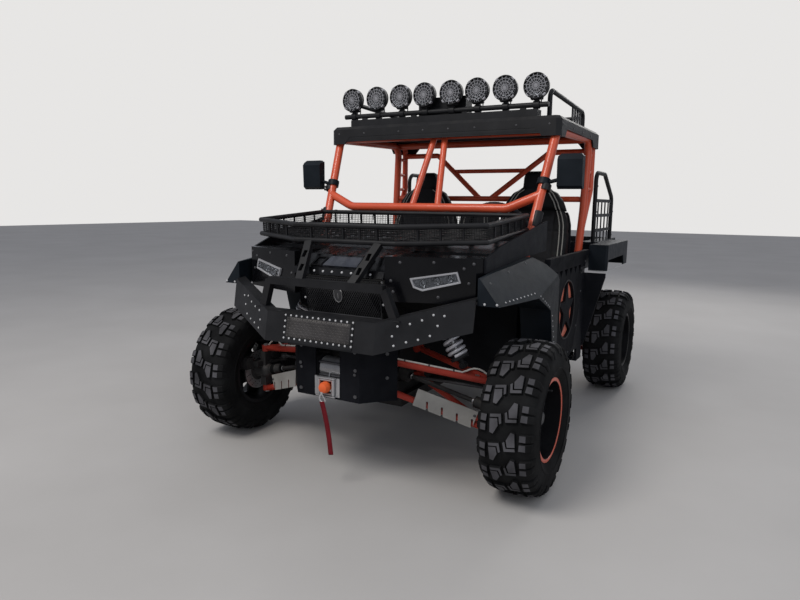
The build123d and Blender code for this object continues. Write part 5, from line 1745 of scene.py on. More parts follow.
@dataclass
class WinchGear:
    """Winch rope, tie bars, fairlead rollers, stopper, hook and pull strap."""

    drum: tuple[float, float, float] = (0.0, NOSE_Y + 0.150, 0.520)
    half: float = 0.062
    rope_radius: float = 0.0028
    rope_turns: int = 18
    wound_radius: float = 0.0468
    fairlead_z: float = 0.447
    strap_width: float = 0.0256
    plate_y: float = NOSE_Y + 0.0857
    hook_y: float = NOSE_Y + 0.0467

    def rope(self) -> None:
        """Wind the rope on the drum and lead it to the fairlead."""
        work = bmesh.new()
        _, y, z = self.drum
        steps = self.rope_turns * 20
        path = []
        for step in range(steps + 1):
            angle = 2 * math.pi * step / 20
            x = -self.half + 0.006 + (2 * self.half - 0.012) * step / steps
            path.append((x, y + self.wound_radius * math.cos(angle),
                         z + self.wound_radius * math.sin(angle)))
        add_tube(work, path, self.rope_radius, 6)
        add_tube(work, [(0.0, y - 0.045, z - 0.012), (0.0, self.plate_y, self.fairlead_z + 0.004)],
                 self.rope_radius, 8)
        show(work, "winch_rope", BARE_STEEL)

    def bars(self) -> None:
        """Lay the winch's tie bars, darkened as painted shade, and bolt its box."""
        work = bmesh.new()
        _, y, z = self.drum
        for lift in (-0.030, 0.030):
            add_tube(work, [(-0.064, y - 0.040, z + lift), (0.064, y - 0.040, z + lift)], 0.006, 12)
        # Painted shade: the tie bars take the dark bolt finish so that they look shaded inside the winch
        # box.
        show(work, "winch_tie_bars", DARK_BOLT)
        spots = [Spot((x, self.plate_y, z), (0, -1, 0)) for x in (-0.146, 0.146)
                 for z in (0.420, 0.520, 0.620)]
        Studs("winch_box_bolts", Head.HEX, 0.007, 0.006).make(spots, DARK_BOLT)

    def hook(self) -> None:
        """Make the rubber stopper, the forged hook and its latch."""
        work = bmesh.new()
        y = self.plate_y - 0.018
        place = frame_of((0, y - 0.0300, self.fairlead_z), (0, 1, 0))
        add_lathe(work, [(0.0, 0.0), (0.010, 0.001), (0.0205, 0.006), (0.0258, 0.018), (0.0262, 0.032),
                         (0.0235, 0.044), (0.015, 0.052), (0.0, 0.053)], place, 36)
        show(work, "rope_stopper", STOPPER_ORANGE)
        work = bmesh.new()
        z = self.fairlead_z
        line = [(0.0, 0.0), (0.0, -0.014), (-0.004, -0.026), (-0.013, -0.037), (-0.016, -0.050),
                (-0.010, -0.062), (0.002, -0.066), (0.012, -0.060), (0.015, -0.050)]
        path = []
        for (x0, z0), (x1, z1) in zip(line, line[1:]):
            path += [(x0 + (x1 - x0) * s / 3, self.hook_y, z + z0 + (z1 - z0) * s / 3) for s in range(3)]
        path.append((line[-1][0], self.hook_y, z + line[-1][1]))
        add_tube(work, path, 0.0050, 12)
        add_tube(work, [(-0.002, self.hook_y - 0.003, z - 0.028), (0.0135, self.hook_y - 0.003, z - 0.050)],
                 0.0022, 8)
        add_rod(work, 0.0060, -0.007, 0.007,
                frame_of((-0.001, self.hook_y, z - 0.022), (0, 1, 0)), 12)
        show(work, "winch_hook", ZINC)

    def rollers(self) -> None:
        """Replace the fairlead's plate and rollers by ones with collars and pins."""
        work = bmesh.new()
        y = self.plate_y
        z = self.fairlead_z
        for side in SIDES:
            add_box(work, (side * 0.051 - 0.017, y - 0.0050, z - 0.044),
                    (side * 0.051 + 0.017, y, z + 0.044), 0.0015)
            middle = z + side * 0.0355
            add_box(work, (-0.036, y - 0.0050, middle - 0.0085), (0.036, y, middle + 0.0085), 0.0012)
        for side in SIDES:
            add_lathe(work, [(0.0, -0.040), (0.0060, -0.040), (0.0060, -0.037), (0.0080, -0.036),
                             (0.0080, 0.036), (0.0060, 0.037), (0.0060, 0.040), (0.0, 0.040)],
                      frame_of((side * 0.038, y - 0.012, z), (0, 0, 1)), 20)
            add_rod(work, 0.0060, -0.030, 0.030,
                    frame_of((0, y - 0.012, z + side * 0.032), (1, 0, 0)), 18)
            add_box(work, (-0.052, y - 0.021, z + side * 0.042 - 0.003),
                    (0.052, y, z + side * 0.042 + 0.003), 0.0012)
        plate = show(work, "fairlead_rollers", BARE_STEEL)
        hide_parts("fairlead")

    def strap(self) -> None:
        """Hang the pull strap: a flat length of webbing that bows a little to one side."""
        work = bmesh.new()
        y = self.hook_y - 0.0068
        top = Vector((0.0, y, self.fairlead_z - 0.060))
        end = Vector((0.049, y, 0.146))
        run = end - top
        rows = []
        count = 40
        for step in range(count + 1):
            share = step / count
            middle = top + run * share + Vector((0.006 * math.sin(math.pi * share),
                                                 0.0008 * math.sin(5 * share), 0))
            across = Vector((run.z, 0, -run.x)).normalized() * -self.strap_width / 2
            rows.append([work.verts.new(middle - across), work.verts.new(middle),
                         work.verts.new(middle + across)])
        add_grid(work, rows)
        cloth = to_object(work, "pull_strap")
        thick = cloth.modifiers.new("thick", "SOLIDIFY")
        thick.thickness = 0.0022
        thick.offset = 0.0
        apply_modifiers(cloth)
        dress(cloth, STRAP_RED)
        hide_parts("hook_strap")

    def build(self) -> None:
        """Build the winch's details."""
        self.rope()
        self.bars()
        self.rollers()
        self.hook()
        self.strap()


# Seats


@dataclass
class Seats:
    """Padded cushions, backs and headrests on plastic shells, swollen by a cloth simulation."""

    front_y: float = ahead(0.850)
    seat_x: float = 0.392
    outer_width: float = 0.486
    middle_width: float = 0.264
    base_z: float = 0.6553
    voxel: float = 0.011
    pressure: float = 4.0
    frames: int = 20
    cap: float = 0.012
    piping_insets: tuple[float, float] = (0.034, 0.056)
    cushion_side: Outline = (
        (-0.020, 0.668), (-0.034, 0.700), (-0.030, 0.728), (-0.004, 0.748), (0.335, 0.722), (0.350, 0.668))
    back_side: Outline = (
        (0.392, 0.765), (0.440, 1.010), (0.4935, 1.256), (0.5420, 1.249), (0.524, 1.000), (0.508, 0.740),
        (0.420, 0.735))
    head_side: Outline = ((0.4890, 1.222), (0.524, 1.500), (0.578, 1.494), (0.5440, 1.216))
    taper_table: tuple[tuple[float, float], ...] = (
        (0.0, 1.0), (1.060, 1.0), (1.150, 0.98), (1.205, 0.92), (1.2395, 0.85), (1.290, 0.78), (1.345, 0.64),
        (1.372, 0.47), (1.395, 0.38), (1.455, 0.345), (1.485, 0.29), (1.507, 0.17))

    def pad(self, name: str, side: Outline, width: float, x: float) -> bpy.types.Object:
        """Return one pad, swollen between its seams.

        Args:
            name: The pad's name.
            side: Its outline as (behind the seat's front, height).
            width: Its width.
            x: The middle of its width.

        Returns:
            The pad.
        """
        work = bmesh.new()
        add_prism(work, side, self.side_plane(x - width / 2), width, 0.020)
        pad = to_object(work, name, 60)
        even = pad.modifiers.new("even", "REMESH")
        even.mode = "VOXEL"
        even.voxel_size = self.voxel
        apply_modifiers(pad)
        for vertex in pad.data.vertices:
            vertex.co.x = x + (vertex.co.x - x) * self.taper(vertex.co.z)
        self.swell(pad)
        pad.data.shade_smooth()
        return pad

    def side_plane(self, x: float) -> Matrix:
        """Return the plane of the seat's side view: X runs backwards, Y is up, Z runs to the left."""
        return axes((x, self.front_y, 0), (0, 1, 0), (0, 0, 1), (1, 0, 0))

    def taper(self, height: float) -> float:
        """Return how wide a pad is at a height, as a share of its full width.

        Args:
            height: The height over the floor.

        Returns:
            The share.
        """
        for (low, first), (high, last) in zip(self.taper_table, self.taper_table[1:]):
            if height <= high:
                return first + (last - first) * max(0.0, height - low) / (high - low)
        return self.taper_table[-1][1]

    def swell(self, pad: bpy.types.Object) -> None:
        """Blow the pad up a little as cloth, and hold every point within the cap.

        Args:
            pad: The pad.
        """
        start = [vertex.co.copy() for vertex in pad.data.vertices]
        air = pad.modifiers.new("air", "CLOTH")
        air.settings.use_pressure = True
        air.settings.uniform_pressure_force = self.pressure
        air.settings.effector_weights.gravity = 0.0
        air.point_cache.frame_start = 1
        air.point_cache.frame_end = self.frames
        for number in range(1, self.frames + 1):
            bpy.context.scene.frame_set(number)
        solved = pad.evaluated_get(bpy.context.evaluated_depsgraph_get()).to_mesh()
        for vertex, first, last in zip(pad.data.vertices, start, solved.vertices):
            move = last.co - first
            vertex.co = first + move * min(1.0, self.cap / max(move.length, 1e-9))
        pad.evaluated_get(bpy.context.evaluated_depsgraph_get()).to_mesh_clear()
        pad.modifiers.clear()
        bpy.context.scene.frame_set(1)
        finer = pad.modifiers.new("finer", "SUBSURF")
        finer.levels = 1
        finer.render_levels = 1
        apply_modifiers(pad)

    def sew(self, pad: bpy.types.Object, lines: Sequence[tuple[int, float, float]]) -> None:
        """Draw the pad in along straight seams.

        Args:
            pad: The pad.
            lines: For each seam the axis that stays constant on it, the value there and the depth.
        """
        moved = []
        for vertex in pad.data.vertices:
            draw = 0.0
            for axis, value, depth in lines:
                off = abs(vertex.co[axis] - value) / 0.020
                if off < 1:
                    draw = max(draw, depth * (1 - off) ** 2)
            moved.append(vertex.co - vertex.normal * draw)
        for vertex, place in zip(pad.data.vertices, moved):
            vertex.co = place

    def piping(self, pad: bpy.types.Object, lines: Sequence[Sequence[Point]],
               toward: Point) -> bmesh.types.BMesh:
        """Return piping laid on a pad along lines that are cast onto it.

        Args:
            pad: The pad.
            lines: Points before its face, one list for each run.
            toward: The direction of the cast.

        Returns:
            The piping.
        """
        tree = BVHTree.FromPolygons([v.co for v in pad.data.vertices],
                                    [p.vertices for p in pad.data.polygons])
        work = bmesh.new()
        for line in lines:
            path = []
            for point in line:
                hit = tree.ray_cast(Vector(point), Vector(toward))
                if hit[0] is not None:
                    path.append(hit[0] + hit[1] * 0.0010)
            if len(path) > 2:
                add_tube(work, path, 0.0036, 8)
        return work

    def panel(self, pad: bpy.types.Object, x: float, half: float, low: float, high: float,
              axis: int) -> None:
        """Give the middle of a pad's face the woven cloth as its second material.

        Args:
            pad: The pad.
            x: The middle of the pad's width.
            half: Half the cloth's width.
            low: Where the cloth starts.
            high: Where it ends.
            axis: The axis it runs along: 2 on a back, 1 on a cushion.
        """
        pad.data.materials.append(SEAT_LEATHER.material())
        pad.data.materials.append(SEAT_MESH.material())
        for face in pad.data.polygons:
            facing = -face.normal.y if axis == 2 else face.normal.z
            if abs(face.center.x - x) < half and low < face.center[axis] < high and facing > 0.35:
                face.material_index = 1

    def one(self, name: str, x: float, width: float, head: bool) -> list[bpy.types.Object]:
        """Build a seat's pads and piping, and return them.

        Args:
            name: The seat's name.
            x: The middle of its width.
            width: Its width.
            head: True gives it a headrest.

        Returns:
            Its pads and its piping.
        """
        base = self.pad(f"{name}_cushion", self.cushion_side, width, x)
        back = self.pad(f"{name}_back", self.back_side, width, x)
        half = width * 0.29
        y = self.front_y
        self.sew(base, [(0, x - half, 0.006), (0, x + half, 0.006), (1, y + 0.130, 0.004)])
        self.sew(back, [(0, x - half, 0.006), (0, x + half, 0.006), (2, 0.930, 0.004), (2, 1.110, 0.004)])
        self.panel(base, x, half, y + 0.01, y + 0.31, 1)
        self.panel(back, x, half, 0.80, 1.20, 2)
        made = [base, back]
        on_base = [[(x + side * half, y + 0.330 * step / 24, 0.90) for step in range(25)] for side in SIDES]
        on_back = self.edge_lines(x, width, 0.790, 1.236)
        work = self.piping(base, on_base, (0, 0, -1))
        merge_into(work, self.piping(back, on_back, (0, 1, 0)), Matrix())
        if head:
            rest = self.pad(f"{name}_headrest", self.head_side, width, x)
            self.sew(rest, [(2, 1.385, 0.004)])
            self.panel(rest, x, 0.058, 1.28, 1.37, 2)
            made.append(rest)
            merge_into(work, self.piping(rest, self.edge_lines(x, width, 1.244, 1.368), (0, 1, 0)), Matrix())
        made.append(to_object(work, f"{name}_piping"))
        return made

    def edge_lines(self, x: float, width: float, low: float, high: float) -> list[list[Point]]:
        """Return lines of points before a pad that follow its tapered edges.

        Args:
            x: The middle of the pad's width.
            width: The pad's full width.
            low: The lowest height.
            high: The highest height.

        Returns:
            The rising lines, two at each edge.
        """
        heights = [low + (high - low) * step / 24 for step in range(25)]
        return [[(x + side * (width / 2 * self.taper(z) - inset), self.front_y, z) for z in heights]
                for side in SIDES for inset in self.piping_insets]

    def twin(self, thing: bpy.types.Object) -> bpy.types.Object:
        """Return the right-hand copy of a left-hand piece.

        Args:
            thing: The left-hand piece.

        Returns:
            The copy.
        """
        mesh = thing.data.copy()
        mesh.transform(Matrix.Diagonal((-1, 1, 1, 1)))
        mesh.flip_normals()
        return linked(thing.name.replace("left", "right"), mesh)

    def shells(self) -> None:
        """Build the plastic pans, back shells, headrest posts and hinge plates under the pads."""
        work = bmesh.new()
        behind = ((0.512, 0.690), (0.545, 1.060), (0.5535, 1.150), (0.5585, 1.205), (0.560, 1.225))
        before = ((0.550, 1.228), (0.537, 1.205), (0.5314, 1.150), (0.5255, 1.060), (0.506, 0.760),
                  (0.500, 0.700))
        for x, width in ((self.seat_x, self.outer_width), (-self.seat_x, self.outer_width),
                         (0.0, self.middle_width)):
            half = width / 2 - 0.004
            add_box(work, (x - half, self.front_y - 0.016, self.base_z),
                    (x + half, self.front_y + 0.500, 0.6760), 0.006)
            back = bmesh.new()
            add_prism(back, behind + before, self.side_plane(x - width / 2 + 0.006), width - 0.012, 0.003)
            for vertex in back.verts:
                vertex.co.x = x + (vertex.co.x - x) * self.taper(vertex.co.z)
            merge_into(work, back, Matrix())
            for side in SIDES:
                plate = ((0.330, 0.660), (0.420, 0.660), (0.512, 0.740), (0.500, 0.800), (0.450, 0.790),
                         (0.380, 0.700))
                add_prism(work, plate, self.side_plane(x + side * (width / 2 - 0.004) - 0.003), 0.006, 0.001)
            if width > 0.4:
                for side in SIDES:
                    add_tube(work, [(x + side * 0.050, self.front_y + 0.515, 1.190),
                                    (x + side * 0.050, self.front_y + 0.532, 1.300)], 0.0065, 12)
        shell = show(work, "seat_shells", BODY_PLASTIC)
        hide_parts("seats")

    def build(self) -> None:
        """Build all three seats."""
        self.shells()
        left = self.one("left_seat", self.seat_x, self.outer_width, True)
        right = [self.twin(thing) for thing in left]
        middle = self.one("middle_seat", 0.0, self.middle_width, False)
        for thing in left + right + middle:
            if thing.name.endswith("piping"):
                dress(thing, PIPING_GREY)
                continue
            dress(thing, SEAT_LEATHER)


# Running gear


@dataclass
class Suspension:
    """Coil-over shocks, boots, arm hardware, brake hoses and brake faces.

    The arms run from their pivots to the pin of the ball joints; pins gives each axle's y and its pin's x.
    """

    front_low_x: float = 0.5134
    rear_low_x: float = 0.5028
    low_z: float = 0.5190
    top_x: float = 0.372
    front_top_z: float = 0.7770
    rear_top_z: float = 0.7220
    coil_radius: float = 0.0395
    wire_radius: float = 0.0080
    turns: float = 7.0
    pins: tuple[tuple[float, float], ...] = ((FRONT_AXLE_Y, 0.680), (REAR_AXLE_Y, 0.664))
    pivot_x: float = 0.190
    pivot_heights: tuple[float, float] = (0.545, 0.405)
    arm_drop: float = 0.0754

    def runs(self) -> list[tuple[Vector, Vector]]:
        """Return the four shocks' low and high points.

        Returns:
            Pairs of points, two for each axle.
        """
        found = []
        for y, low_x, top_z in ((FRONT_AXLE_Y, self.front_low_x, self.front_top_z),
                                (REAR_AXLE_Y, self.rear_low_x, self.rear_top_z)):
            for side in SIDES:
                found.append((Vector((side * low_x, y, self.low_z)), Vector((side * self.top_x, y, top_z))))
        return found

    def shocks(self) -> None:
        """Build the dampers with their cups and eyes, and the coil springs round them."""
        bodies, coils, shafts = bmesh.new(), bmesh.new(), bmesh.new()
        for low, high in self.runs():
            run = high - low
            length = run.length
            place = frame_of(low, run)
            add_lathe(bodies, [(0.0, 0.002), (0.0150, 0.002), (0.0155, 0.030), (0.0120, 0.036),
                               (0.0120, 0.044), (0.0430, 0.046), (0.0450, 0.050), (0.0450, 0.060),
                               (0.0420, 0.062), (0.0200, 0.064), (0.0180, 0.090), (0.0, 0.092)], place, 28)
            add_rod(shafts, 0.0090, 0.088, length * 0.56, place, 20)
            top = length
            add_lathe(bodies, [(0.0, top * 0.52), (0.0200, top * 0.52), (0.0220, top * 0.54),
                               (0.0220, top * 0.84), (0.0400, top * 0.855), (0.0455, top * 0.865),
                               (0.0455, top * 0.895), (0.0400, top * 0.905), (0.0240, top * 0.915),
                               (0.0240, top * 0.935), (0.0155, top * 0.945), (0.0150, top - 0.002),
                               (0.0, top - 0.002)], place, 28)
            for at in (0.014, top - 0.014):
                middle = place @ Vector((0, 0, at))
                add_lathe(bodies, [(0.0, -0.022), (0.0090, -0.022), (0.0090, -0.018), (0.0158, -0.018),
                                   (0.0158, 0.018), (0.0090, 0.018), (0.0090, 0.022), (0.0, 0.022)],
                          frame_of(middle, (0, 1, 0)), 20)
            start, end = 0.066, top * 0.848
            count = int(self.turns * 20)
            path = []
            for step in range(count + 1):
                share = step / count
                angle = 2 * math.pi * self.turns * share
                ease = share - 0.035 * math.sin(2 * math.pi * share)
                path.append(place @ on_circle(self.coil_radius, angle, start + (end - start) * ease))
            add_tube(coils, path, self.wire_radius, 10)
        piece = show(bodies, "damper_bodies", BLACK_STEEL)
        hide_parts("shocks")
        show(shafts, "damper_shafts", BARE_STEEL)
        show(coils, "coil_springs", SPRING_STEEL, crease=50)

    def boots(self) -> None:
        """Ring the half shafts' bellows with ribs and clamps."""
        ribs, clamps = bmesh.new(), bmesh.new()
        for y, pin_x in self.pins:
            for side in SIDES:
                inner = Vector((side * 0.1617, y, 0.457))
                ball = Vector((side * pin_x, y, AXLE_Z))
                run = (ball - inner).normalized()
                length = (ball - inner).length - 0.044
                place = frame_of(inner, run)
                profile = [(0.0342, 0.002)]
                for step in range(5):
                    at = 0.006 + step * 0.013
                    wide = 0.0385 - step * 0.0045
                    profile += [(wide, at + 0.003), (wide, at + 0.006), (wide - 0.0065, at + 0.011)]
                profile += [(0.0120, 0.076), (0.0112, 0.0765)]
                add_lathe(ribs, profile, place, 28)
                profile = [(0.0112, length - 0.0745)]
                for step in range(4):
                    at = length - 0.072 + step * 0.014
                    wide = 0.0190 + step * 0.0036
                    profile += [(wide - 0.0050, at), (wide, at + 0.004), (wide, at + 0.007)]
                profile += [(0.0282, length - 0.014), (0.0282, length - 0.004)]
                add_lathe(ribs, profile, place, 28)
                for at, wide in ((0.080, 0.0125), (length - 0.078, 0.0125), (0.002, 0.0352)):
                    add_ring(clamps, wide, wide + 0.001, at - 0.003, at + 0.003, place, 24)
        show(ribs, "shaft_boots", TYRE_RUBBER)
        show(clamps, "boot_clamps", ZINC)

    def arm_hardware(self) -> None:
        """Set the pivot bolts, the gussets' bolts and the ball joints' nuts on the arms."""
        spots = []
        nuts = bmesh.new()
        for y, pin_x in self.pins:
            for side in SIDES:
                spots += [Spot((side * self.pivot_x, y + end * 0.185, z), (0, end, 0))
                          for z in self.pivot_heights for end in SIDES]
                share = 0.79
                at = self.on_arm(side, y, pin_x, share)
                spots.append(Spot((at.x, at.y, at.z + 0.0034), (side * 0.15, 0, 0.99)))
                for z, up in ((0.4856, 1), (0.2304, -1)):
                    place = frame_of((side * pin_x, y, z), (0, 0, up))
                    add_lathe(nuts, [(0.0, 0.0), (0.0150, 0.0), (0.0150, 0.007), (0.0110, 0.009),
                                     (0.0, 0.009)], place, 6)
                    add_ring(nuts, 0.0205, 0.0218, -0.003, -0.001, place, 28)
        show(nuts, "joint_nuts", ZINC)
        Studs("arm_bolts", Head.HEX, 0.0110, 0.010).make(spots, ZINC)

    def on_arm(self, side: int, y: float, pin_x: float, share: float) -> Vector:
        """Return the point of an upper arm's middle line at a share of its length.

        Args:
            side: The arm's side.
            y: The axle's y.
            pin_x: Where the arm ends.
            share: The share of its length, from the pivot.

        Returns:
            The point.
        """
        return Vector((side * (self.pivot_x + share * (pin_x - self.pivot_x)), y,
                       self.pivot_heights[0] - share * self.arm_drop))

    def hoses(self) -> None:
        """Clip a pale brake hose to the front of each upper arm."""
        work, clips = bmesh.new(), bmesh.new()
        for y, pin_x in self.pins:
            for side in SIDES:
                path = []
                for step in range(25):
                    share = step / 24
                    out = (0.215 + share * (pin_x - 0.245) - self.pivot_x) / (pin_x - self.pivot_x)
                    bow = max(0.0, share - 0.72) / 0.28
                    lift = 0.030 * max(0.0, math.sin(math.pi * bow))
                    middle = self.on_arm(side, y, pin_x, out)
                    path.append(middle + Vector((0, -0.160 * (1 - out), 0.019 + lift)))
                    if step in (3, 9, 15):
                        add_ring(clips, 0.0048, 0.0062, -0.004, 0.004,
                                 frame_of(path[-1], (side, 0.3, -0.15)), 14)
                add_tube(work, path, 0.0042, 10)
        show(work, "brake_hoses", HOSE_PALE)
        show(clips, "hose_clips", DARK_BOLT)

    def brakes(self) -> None:
        """Give each brake disc its drilled faces, and each caliper its bolts."""
        for corner, y, track, body in (
                ("fl", FRONT_AXLE_Y, FRONT_TRACK, "knuckle_left"),
                ("fr", FRONT_AXLE_Y, -FRONT_TRACK, "knuckle_right"),
                ("rl", REAR_AXLE_Y, REAR_TRACK, "chassis"), ("rr", REAR_AXLE_Y, -REAR_TRACK, "chassis")):
            side = 1 if track > 0 else -1
            disc_x = track - side * 0.084
            work = bmesh.new()
            for face in (-0.0012, 0.0062):
                place = frame_of((disc_x + side * face, y, AXLE_Z), (side, 0, 0))
                add_ring(work, 0.062, 0.108, -0.0004, 0.0004, place, 64)
            show(work, f"brake_face_{corner}", BARE_STEEL, body)
            spots = []
            for ring, count in ((0.074, 14), (0.086, 16), (0.098, 18)):
                for step in range(count):
                    angle = 2 * math.pi * (step + ring * 7) / count
                    at = (disc_x - side * 0.0017, y + ring * math.cos(angle),
                          AXLE_Z + ring * math.sin(angle))
                    if not (y - 0.125 < at[1] < y - 0.055 and at[2] > AXLE_Z + 0.01):
                        spots.append(Spot(at, (-side, 0, 0)))
            for z in (0.372, 0.414):
                spots.append(Spot((disc_x - side * 0.0225, y - 0.090, z), (-side, 0, 0)))
            Studs(f"disc_holes_{corner}", Head.RING, 0.0035, 0.0006).make(spots, DARK_BOLT, body)

    def build(self) -> None:
        """Build the running gear's details."""
        self.shocks()
        self.boots()
        self.arm_hardware()
        self.hoses()
        self.brakes()


# Body details


@dataclass
class Basket:
    """Wire mesh, wire loops and thin floor wires of the basket over the hood."""

    front_y: float = ahead(-0.240)
    floor_z: float = 1.096
    wall: float = 0.072
    slope: float = 3.9
    plan: tuple[tuple[float, float], ...] = ((0.270, 0.0), (0.630, 0.170), (0.630, 0.724), (-0.630, 0.724),
                                             (-0.630, 0.170), (-0.270, 0.0))
    wire: float = 0.0015
    pitch: float = 0.0105
    loop_x: tuple[float, ...] = (-0.535, -0.392, -0.247, -0.101, 0.043, 0.187, 0.334, 0.484)

    def place(self) -> Matrix:
        """Return the basket's own frame, on its slope."""
        lean = Matrix.Rotation(math.radians(self.slope), 4, "X")
        return Matrix.Translation((0, self.front_y, self.floor_z)) @ lean

    def mesh(self) -> None:
        """Weave the wall's mesh inside the pickets."""
        work = bmesh.new()
        place = self.place()
        corners = [Vector((x, y, 0)) for x, y in self.plan]
        for start, end in zip(corners, corners[1:] + corners[:1]):
            run = end - start
            inward = Vector((run.y, -run.x, 0)).normalized() * 0.0056
            if inward.dot(Vector((0, 0.36, 0)) - start) < 0:
                inward = -inward
            count = int(run.length / self.pitch)
            for step in range(1, count):
                at = start + run * (step / count) + inward
                add_tube(work, [place @ at, place @ (at + Vector((0, 0, self.wall)))], self.wire, 4)
            for step in range(1, 7):
                lift = Vector((0, 0, self.wall * step / 7)) + inward * 1.5
                add_tube(work, [place @ (start + lift), place @ (end + lift)], self.wire, 4)
        show(work, "basket_mesh", BLACK_STEEL)

    def loops(self) -> None:
        """Bend the wire loops over the rear rim."""
        work = bmesh.new()
        place = self.place()
        for x in self.loop_x:
            path = [(x - 0.030, 0.716, self.wall - 0.042), (x - 0.030, 0.718, self.wall - 0.022)]
            for step in range(13):
                angle = math.pi * step / 12
                path.append((x - 0.030 * math.cos(angle), 0.722,
                             self.wall - 0.010 + 0.022 * math.sin(angle)))
            path += [(x + 0.030, 0.718, self.wall - 0.022), (x + 0.030, 0.716, self.wall - 0.042)]
            add_tube(work, [place @ Vector(p) for p in path], 0.0024, 8)
        show(work, "basket_loops", BLACK_STEEL)

    def floor(self) -> None:
        """Lay thin wires between the floor's bars."""
        work = bmesh.new()
        place = self.place()
        lean = 0.170 / 0.360
        for step in range(-20, 21):
            x = step * 0.030
            lead = max(0.0, abs(x) - 0.270) * lean
            add_tube(work, [place @ Vector((x, lead + 0.006, 0.0035)), place @ Vector((x, 0.718, 0.0035))],
                     0.0018, 5)
        for step in range(1, 15):
            y = step * 0.048
            half = 0.626 if y > 0.170 else 0.270 + y / lean
            add_tube(work, [place @ Vector((-half, y, 0.0065)), place @ Vector((half, y, 0.0065))], 0.0018,
                     5)
        show(work, "basket_floor_wires", BLACK_STEEL)

    def build(self) -> None:
        """Build the basket's details."""
        self.mesh()
        self.loops()
        self.floor()


@dataclass
class Doors:
    """Backing of the star, rail caps, bolts, latch and hinge pins of both doors."""

    face_x: float = 0.750
    backing_x: float = 0.7343
    star_y: float = ahead(0.888)
    star_z: float = 0.690
    star_radius: float = 0.1585
    bolts: tuple[tuple[float, float], ...] = ((0.525, 0.940), (0.525, 0.760), (0.525, 0.580), (0.525, 0.430),
                                              (0.720, 0.430), (0.960, 0.430), (1.285, 0.935), (1.200, 0.760),
                                              (1.120, 0.560))

    def build(self) -> None:
        """Build both doors' details, each on its own body."""
        for side, name in ((1, "door_left"), (-1, "door_right")):
            work = bmesh.new()
            place = frame_of((side * self.backing_x, self.star_y, self.star_z), (side, 0, 0))
            add_rod(work, self.star_radius, -0.0002, 0.0004, place, 64)
            show(work, f"star_backing_{name}", STAR_ORANGE, name)
            spots = [Spot((side * (self.face_x + 0.0005), ahead(y), z), (side, 0, 0)) for y, z in self.bolts]
            Studs(f"bolts_{name}", Head.DOME, 0.0062, 0.0034).make(spots, DARK_BOLT, name)
            trim = bmesh.new()
            ring = frame_of((side * (self.face_x + 0.0002), self.star_y, self.star_z), (side, 0, 0))
            add_lathe(trim, [(0.1600, 0.0), (0.1690, 0.0), (0.1684, 0.0028), (0.1606, 0.0028)], ring, 64,
                      True)
            rail = ahead(1.3855)
            add_box(trim, (side * 0.739 - 0.0140, rail - 0.001, 0.971),
                    (side * 0.739 + 0.0140, rail + 0.0040, 0.999), 0.0015)
            latch = ahead(1.215)
            add_box(trim, (side * 0.7520 - 0.0025, latch - 0.050, 0.868),
                    (side * 0.7520 + 0.0025, latch + 0.050, 0.905), 0.0020)
            add_box(trim, (side * 0.7570 - 0.0035, latch - 0.040, 0.880),
                    (side * 0.7570 + 0.0035, latch + 0.012, 0.895), 0.0030)
            for z in (0.4750, 0.8750):
                add_box(trim, (side * 0.7515 - 0.0022, ahead(0.504), z - 0.024),
                        (side * 0.7515 + 0.0022, ahead(0.600), z + 0.024), 0.0015)
            show(trim, f"trim_{name}", BLACK_STEEL, name)


@dataclass
class Fenders:
    """Rivets along the front arches, and the bolts before and on top of them."""

    edge: Outline = ((-0.150, 0.8600), (0.118, 0.8700), (0.225, 0.8220), (0.335, 0.7720))
    rear_edge: Outline = ((0.352, 0.740), (0.400, 0.600))

    def build(self) -> None:
        """Cast the rivets onto the fenders from both sides."""
        skin = Skin("front_fenders")
        places = []
        for (y0, z0), (y1, z1), count in zip(self.edge, self.edge[1:], (8, 3, 4)):
            for share in (step / count for step in range(count)):
                places.append((ahead(y0 + (y1 - y0) * share), z0 + (z1 - z0) * share + 0.0065))
        (y0, z0), (y1, z1) = self.rear_edge
        for share in (step / 5 for step in range(6)):
            places.append((ahead(y0 + (y1 - y0) * share) + 0.012, z0 + (z1 - z0) * share))
        # The arch rivets are pale grey as a painted highlight.
        Studs("arch_rivets", Head.DOME, 0.0038, 0.0022).make(skin.from_left(places), RIVET_HIGHLIGHT)
        front = skin.from_ahead([(0.687, 0.862), (0.741, 0.864)])
        # The bolts before the arches are pale grey as a painted highlight.
        Studs("fender_bolts", Head.DOME, 0.0056, 0.0034).make(front, RIVET_HIGHLIGHT)
        top = skin.spots([(x, y, 1.3) for x, y in ((0.690, ahead(-0.170)), (0.700, ahead(0.020)),
                                                   (0.716, ahead(0.210)), (0.735, ahead(0.360)))],
                         (0, 0, -1))
        Studs("fender_top_bolts", Head.DOME, 0.0062, 0.0030).make(top, DARK_BOLT)


